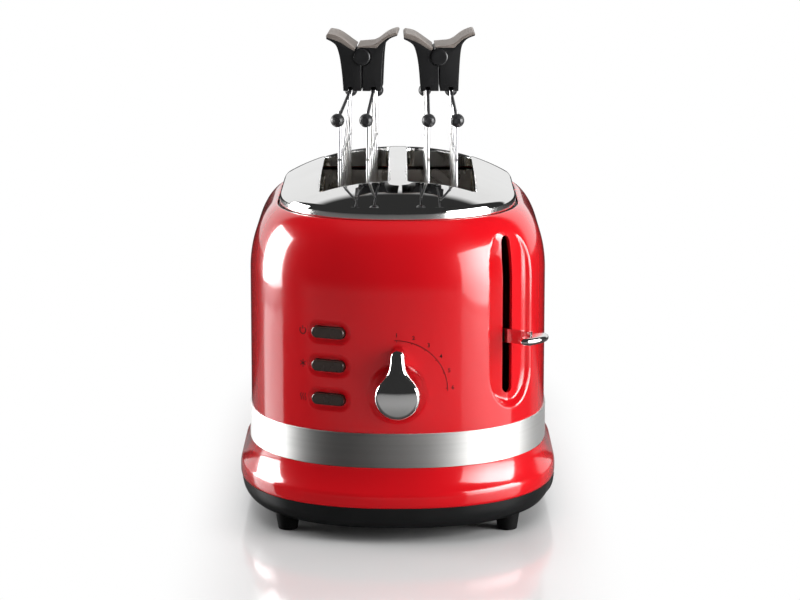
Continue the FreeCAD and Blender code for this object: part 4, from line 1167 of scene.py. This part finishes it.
gripPlastic = mouldedFinish("gripPlastic", (0.01, 0.01, 0.011), (0.016, 0.016, 0.0165), 2200.0, (0.4, 0.52),
                            0.35, dustShare=0.06, ior=1.4)
padRubber = mouldedFinish("padRubber", (0.2, 0.165, 0.145), (0.26, 0.225, 0.2), 1600.0, (0.5, 0.66), 0.4,
                          dustShare=0.3, sheen=0.15)
pinPlastic = mouldedFinish("pinPlastic", (0.012, 0.012, 0.013), (0.018, 0.018, 0.019), 2600.0, (0.3, 0.42),
                           0.2, dustShare=0.05)
cageChrome = mirrorFinish("cageChrome", (0.6, 0.6, 0.61), (0.45, 0.44, 0.42), roughness=(0.28, 0.4),
                          smudgeScale=90.0, dustShare=0.02, swell=200.0, bump=0.01)
coatedWire = mouldedFinish("coatedWire", (0.016, 0.016, 0.018), (0.03, 0.03, 0.032), 1800.0, (0.4, 0.52), 0.3,
                           dustShare=0.05, coat=0.1)
for side in ("left", "right"):
    for half in ("outer", "inner"):
        flip = (half == "outer") != (side == "left")
        body = side + "_tong_" + half + "_half"
        stem = side + "_tong_" + half + "_"
        finishPiece(buildGrip(side, half, flip), gripPlastic, body, "grip_plastic", stem + "grip")
        finishPiece(buildPad(side, half, flip), padRubber, body, "pad_rubber", stem + "pad")
        finishPiece(buildCage(side, half, flip, cageChrome), cageChrome, body, "cage_chrome", stem + "cage")
        finishPiece(buildRests(side, half, flip, coatedWire), coatedWire, body, "coated_wire", stem + "rests")
    finishPiece(buildPin(side), pinPlastic, side + "_tong_outer_half", "pin_black", side + "_tong_pin")
print("tongs made")

# finishes of the parts whose shape comes from the frame

nodeFinishes = {
    "black_plastic": mouldedFinish(
        "basePlastic", (0.01, 0.0105, 0.011), (0.015, 0.0155, 0.016), 1500.0, (0.3, 0.42), 0.3, ior=1.36),
    "foot_rubber": mouldedFinish(
        "footRubber", (0.005, 0.005, 0.005), (0.008, 0.008, 0.008), 1100.0, (0.6, 0.75), 0.5, 0.06, ior=1.2),
    "seal_rubber": mouldedFinish(
        "sealRubber", (0.012, 0.012, 0.012), (0.02, 0.02, 0.02), 1400.0, (0.55, 0.7), 0.4),
    "screw_steel": bareMetalFinish(
        "screwSteel", (0.6, 0.6, 0.62), (0.5, 0.45, 0.38), 0.2, (900.0, 60.0, 900.0), (0.22, 0.34), 0.2),
    "plated_sheet": bareMetalFinish(
        "platedSheet", (0.74, 0.74, 0.73), (0.56, 0.5, 0.45), 0.4, (40.0, 40.0, 900.0), (0.24, 0.42), 0.25),
    "mica_board": mouldedFinish(
        "micaBoard", (0.5, 0.42, 0.3), (0.38, 0.3, 0.2), 500.0, (0.5, 0.7), 0.6),
    "heating_alloy": bareMetalFinish(
        "heatingAlloy", (0.33, 0.3, 0.27), (0.16, 0.12, 0.12), 0.9, (300.0, 300.0, 900.0), (0.35, 0.5), 0.2),
    "guard_wire": bareMetalFinish(
        "guardWire", (0.55, 0.54, 0.52), (0.4, 0.28, 0.17), 0.8, (500.0, 60.0, 500.0), (0.2, 0.36), 0.2),
    "guide_steel": bareMetalFinish(
        "guideSteel", (0.62, 0.62, 0.63), (0.5, 0.42, 0.33), 0.3, (700.0, 700.0, 40.0), (0.12, 0.22), 0.15),
    "magnet_coil": brushedFinish(
        "magnetCoil", (0.62, 0.3, 0.12), (0.45, 0.2, 0.08), (0.3, 0.45), 0.05, 0.6, (60.0, 60.0, 4200.0)),
    "board_green": mouldedFinish(
        "boardGreen", (0.03, 0.16, 0.07), (0.05, 0.22, 0.09), 900.0, (0.32, 0.46), 0.3),
    "control_metal": bareMetalFinish(
        "controlMetal", (0.5, 0.5, 0.5), (0.42, 0.38, 0.3), 0.2, (900.0, 900.0, 60.0), (0.28, 0.4), 0.2),
    "inner_plastic": mouldedFinish(
        "innerPlastic", (0.16, 0.16, 0.165), (0.21, 0.21, 0.21), 1300.0, (0.5, 0.64), 0.35),
    "spring_steel": bareMetalFinish(
        "springSteel", (0.46, 0.46, 0.48), (0.36, 0.3, 0.24), 0.3, (600.0, 600.0, 600.0), (0.2, 0.34), 0.15),
    "lever_metal": brushedFinish(
        "leverMetal", (0.66, 0.66, 0.67), (0.56, 0.56, 0.57), (0.08, 0.16), 0.04, 0.1, (60.0, 60.0, 900.0)),
    "button_plastic": mouldedFinish(
        "buttonPlastic", (0.028, 0.018, 0.015), (0.05, 0.034, 0.028), 2000.0, (0.24, 0.36), 0.12, 0.1,
        coat=0.25),
}


# return spring, drawn again as one fixed coil between base and carriage

spring = {"x": -30.0, "y": -89.0, "low": 10.6, "high": 57.4, "radius": 3.3, "wire": 0.54, "turns": 9,
          "steps": 24, "sides": 10, "still": 0.6}


def buildSpring():
    rings, count = [], spring["turns"] * spring["steps"]
    for i in range(count + 1):
        turn, ring = math.tau * i / spring["steps"], []
        z = spring["low"] + (spring["high"] - spring["low"]) * i / count
        for around in (math.tau * j / spring["sides"] for j in range(spring["sides"])):
            reach = spring["radius"] + spring["wire"] * math.cos(around)
            ring.append((spring["x"] + reach * math.cos(turn), spring["y"] + reach * math.sin(turn),
                         z + spring["wire"] * math.sin(around)))
        rings.append(ring)
    return ringPiece("returnSpring", rings, smooth=50)


returnSpring = buildSpring()
returnSpring.data.materials.append(nodeFinishes["spring_steel"])
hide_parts("return_spring")
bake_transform(returnSpring)

replaced = {"body_shell", "skirt", "metal_band", "chrome_top", "browning_knob", "lever_handle",
            "return_spring"}
for row in frame["record"]["subparts"]:
    name, slotName = row["node"], row["material_slot"]
    finish = nodeFinishes.get(slotName)
    if finish and name not in replaced:
        data = nodes[name].data
        if not data.materials:
            data.materials.append(finish)
        for k in range(len(data.materials)):
            data.materials[k] = finish
print("frame parts finished")

# studio: pale floor, white backdrop, three lamps for the light and two tall softboxes for the gloss

studio = {"floorSize": 9.0, "floorColour": (0.74, 0.74, 0.74), "floorGloss": 0.36, "surround": 0.2,
          "mirrorShare": 0.55, "glossFront": (-0.2, -0.45), "glossNear": 0.06, "hiddenGlow": 0.02,
          "hiddenEdge": (-0.25, -0.2), "sideReach": (0.07, 0.13), "frontReach": (0.2, 0.42), "gloom": 0.03,
          "backdropEdge": (0.6, 0.7), "backdropGloss": 0.84,
          "top": {"place": (0.0, -0.1, 1.5), "size": (1.3, 1.3), "aim": (0.0, 0.0, 0.0), "power": 13.5},
          "rightKey": {"place": (0.88, -0.36, 0.33), "size": (0.5, 0.6), "aim": (0.0, -0.05, 0.1),
                       "power": 9.5},
          "leftKey": {"place": (-0.85, 0.1, 0.33), "size": (0.5, 0.6), "aim": (0.0, -0.05, 0.1),
                      "power": 3.6},
          "leftBox": {"place": (-0.72, 0.235, 0.26), "size": (0.42, 0.5), "aim": (0.0, -0.02, 0.26),
                      "power": 11.5, "edges": (0.0, 0.12, 0.55, 1.0), "foot": (0.55, 0.35)},
          "rightBox": {"place": (0.71, -0.32, 0.265), "size": (0.78, 0.52), "aim": (0.0, 0.0, 0.265),
                       "power": 21.0, "edges": (0.0, 0.45, 0.3, 0.9), "foot": (0.55, 0.5)}}
whiteLight = (1, 1, 1, 1)


def addLamp(name, spec):  # a softbox has edges and shows only in gloss, a lamp only lights
    lamp = bpy.data.lights.new(name, "AREA")
    lamp.shape, lamp.energy = "RECTANGLE", spec["power"]
    lamp.size, lamp.size_y = spec["size"]
    holder = addObject(name, lamp)
    holder.location = spec["place"]
    holder.rotation_euler = (Vector(spec["aim"]) - Vector(spec["place"])).to_track_quat("-Z", "Y").to_euler()
    holder.visible_camera = False
    holder.visible_diffuse, holder.visible_glossy = "edges" not in spec, "edges" in spec
    if "edges" in spec:
        lamp.use_nodes = True
        tree = lamp.node_tree
        spot = addNode(tree, "ShaderNodeNewGeometry").outputs["Parametric"]
        sides = addNode(tree, "ShaderNodeSeparateXYZ", {0: spot}).outputs
        dim, reach = spec["foot"]
        both = maths(tree, "MULTIPLY", mapRange(tree, sides["X"], *spec["edges"]),
                     mapRange(tree, sides["Y"], 0.0, reach, dim))
        emission = next(n for n in tree.nodes if n.type == "EMISSION")
        tree.links.new(both, emission.inputs["Strength"])


def buildFloor():
    size = studio["floorSize"] * 1000.0
    corners = [(-size, -size, 0.0), (size, -size, 0.0), (size, size, 0.0), (-size, size, 0.0)]
    piece = addMesh("studioFloor", corners, [(0, 1, 2, 3)])
    material, tree, shader, place = startFinish("paleFloor", {"Roughness": 0.1, "IOR": 1.45})
    path = tree.nodes.new("ShaderNodeLightPath").outputs
    axes = addNode(tree, "ShaderNodeSeparateXYZ", {0: place}).outputs
    pale = blendColours(tree, noise(tree, place, 3.0, 2.0), studio["floorColour"],
                        tuple(c + 0.02 for c in studio["floorColour"]))
    front, far = studio["glossFront"]
    level = mapRange(tree, axes["Y"], far, front, studio["floorGloss"], studio["glossNear"], smooth=True)
    tree.links.new(mixColours(tree, path["Is Glossy Ray"], pale, level), shader.inputs["Base Color"])
    dull = addNode(tree, "ShaderNodeBsdfDiffuse", {"Color": level})
    mirror = mixShaders(tree, maths(tree, "MULTIPLY", path["Is Glossy Ray"], 1.0 - studio["mirrorShare"]),
                        shader, dull)
    sideways, lengthways = (maths(tree, "ABSOLUTE", axes[axis]) for axis in ("X", "Y"))
    behind = maths(tree, "ADD", axes["Y"], maths(tree, "MULTIPLY_ADD", sideways, *studio["hiddenEdge"]))
    hidden = maths(tree, "MULTIPLY", mapRange(tree, behind, -0.02, 0.02), path["Is Glossy Ray"])
    dark = addNode(tree, "ShaderNodeEmission", {"Color": whiteLight, "Strength": studio["hiddenGlow"]})
    mirror = mixShaders(tree, hidden, mirror, dark)
    corner = addNode(tree, "ShaderNodeCombineXYZ", {"X": mapRange(tree, sideways, *studio["sideReach"]),
                                                    "Y": mapRange(tree, lengthways, *studio["frontReach"])})
    reach = addNode(tree, "ShaderNodeVectorMath", {0: corner.outputs["Vector"]}, operation="LENGTH")
    away = mapRange(tree, reach.outputs["Value"], 0.0, 1.0, smooth=True)
    white = addNode(tree, "ShaderNodeEmission", {"Color": whiteLight, "Strength": 1.0})
    mix = mixShaders(tree, maths(tree, "MULTIPLY", path["Is Camera Ray"], away), mirror, white)
    out = next(n for n in tree.nodes if n.type == "OUTPUT_MATERIAL")
    tree.links.new(mix.outputs[0], out.inputs["Surface"])
    piece.data.materials.append(material)


def buildSurround():  # white backdrop behind, dim room elsewhere in gloss, even light for the rest
    world = bpy.data.worlds.new("surround")
    bpy.context.scene.world = world
    world.use_nodes = True
    tree = world.node_tree
    tree.nodes.clear()
    path = tree.nodes.new("ShaderNodeLightPath").outputs
    direction = tree.nodes.new("ShaderNodeTexCoord").outputs["Generated"]
    ahead = addNode(tree, "ShaderNodeSeparateXYZ", {0: direction}).outputs["Y"]
    room = mapRange(tree, ahead, *studio["backdropEdge"], studio["gloom"], studio["backdropGloss"],
                    smooth=True)
    plain, shown, white = (addNode(tree, "ShaderNodeBackground", {"Color": whiteLight, "Strength": strength})
                           for strength in (studio["surround"], room, 1.0))
    gloss = maths(tree, "MAXIMUM", path["Is Glossy Ray"], path["Is Transmission Ray"])
    seen = mixShaders(tree, path["Is Camera Ray"], mixShaders(tree, gloss, plain, shown), white)
    addNode(tree, "ShaderNodeOutputWorld", {"Surface": seen.outputs[0]})


buildFloor()
buildSurround()
for name in ("top", "rightKey", "leftKey", "leftBox", "rightBox"):
    addLamp(name, studio[name])
bpy.context.scene.view_settings.view_transform = "Standard"
print("studio set")
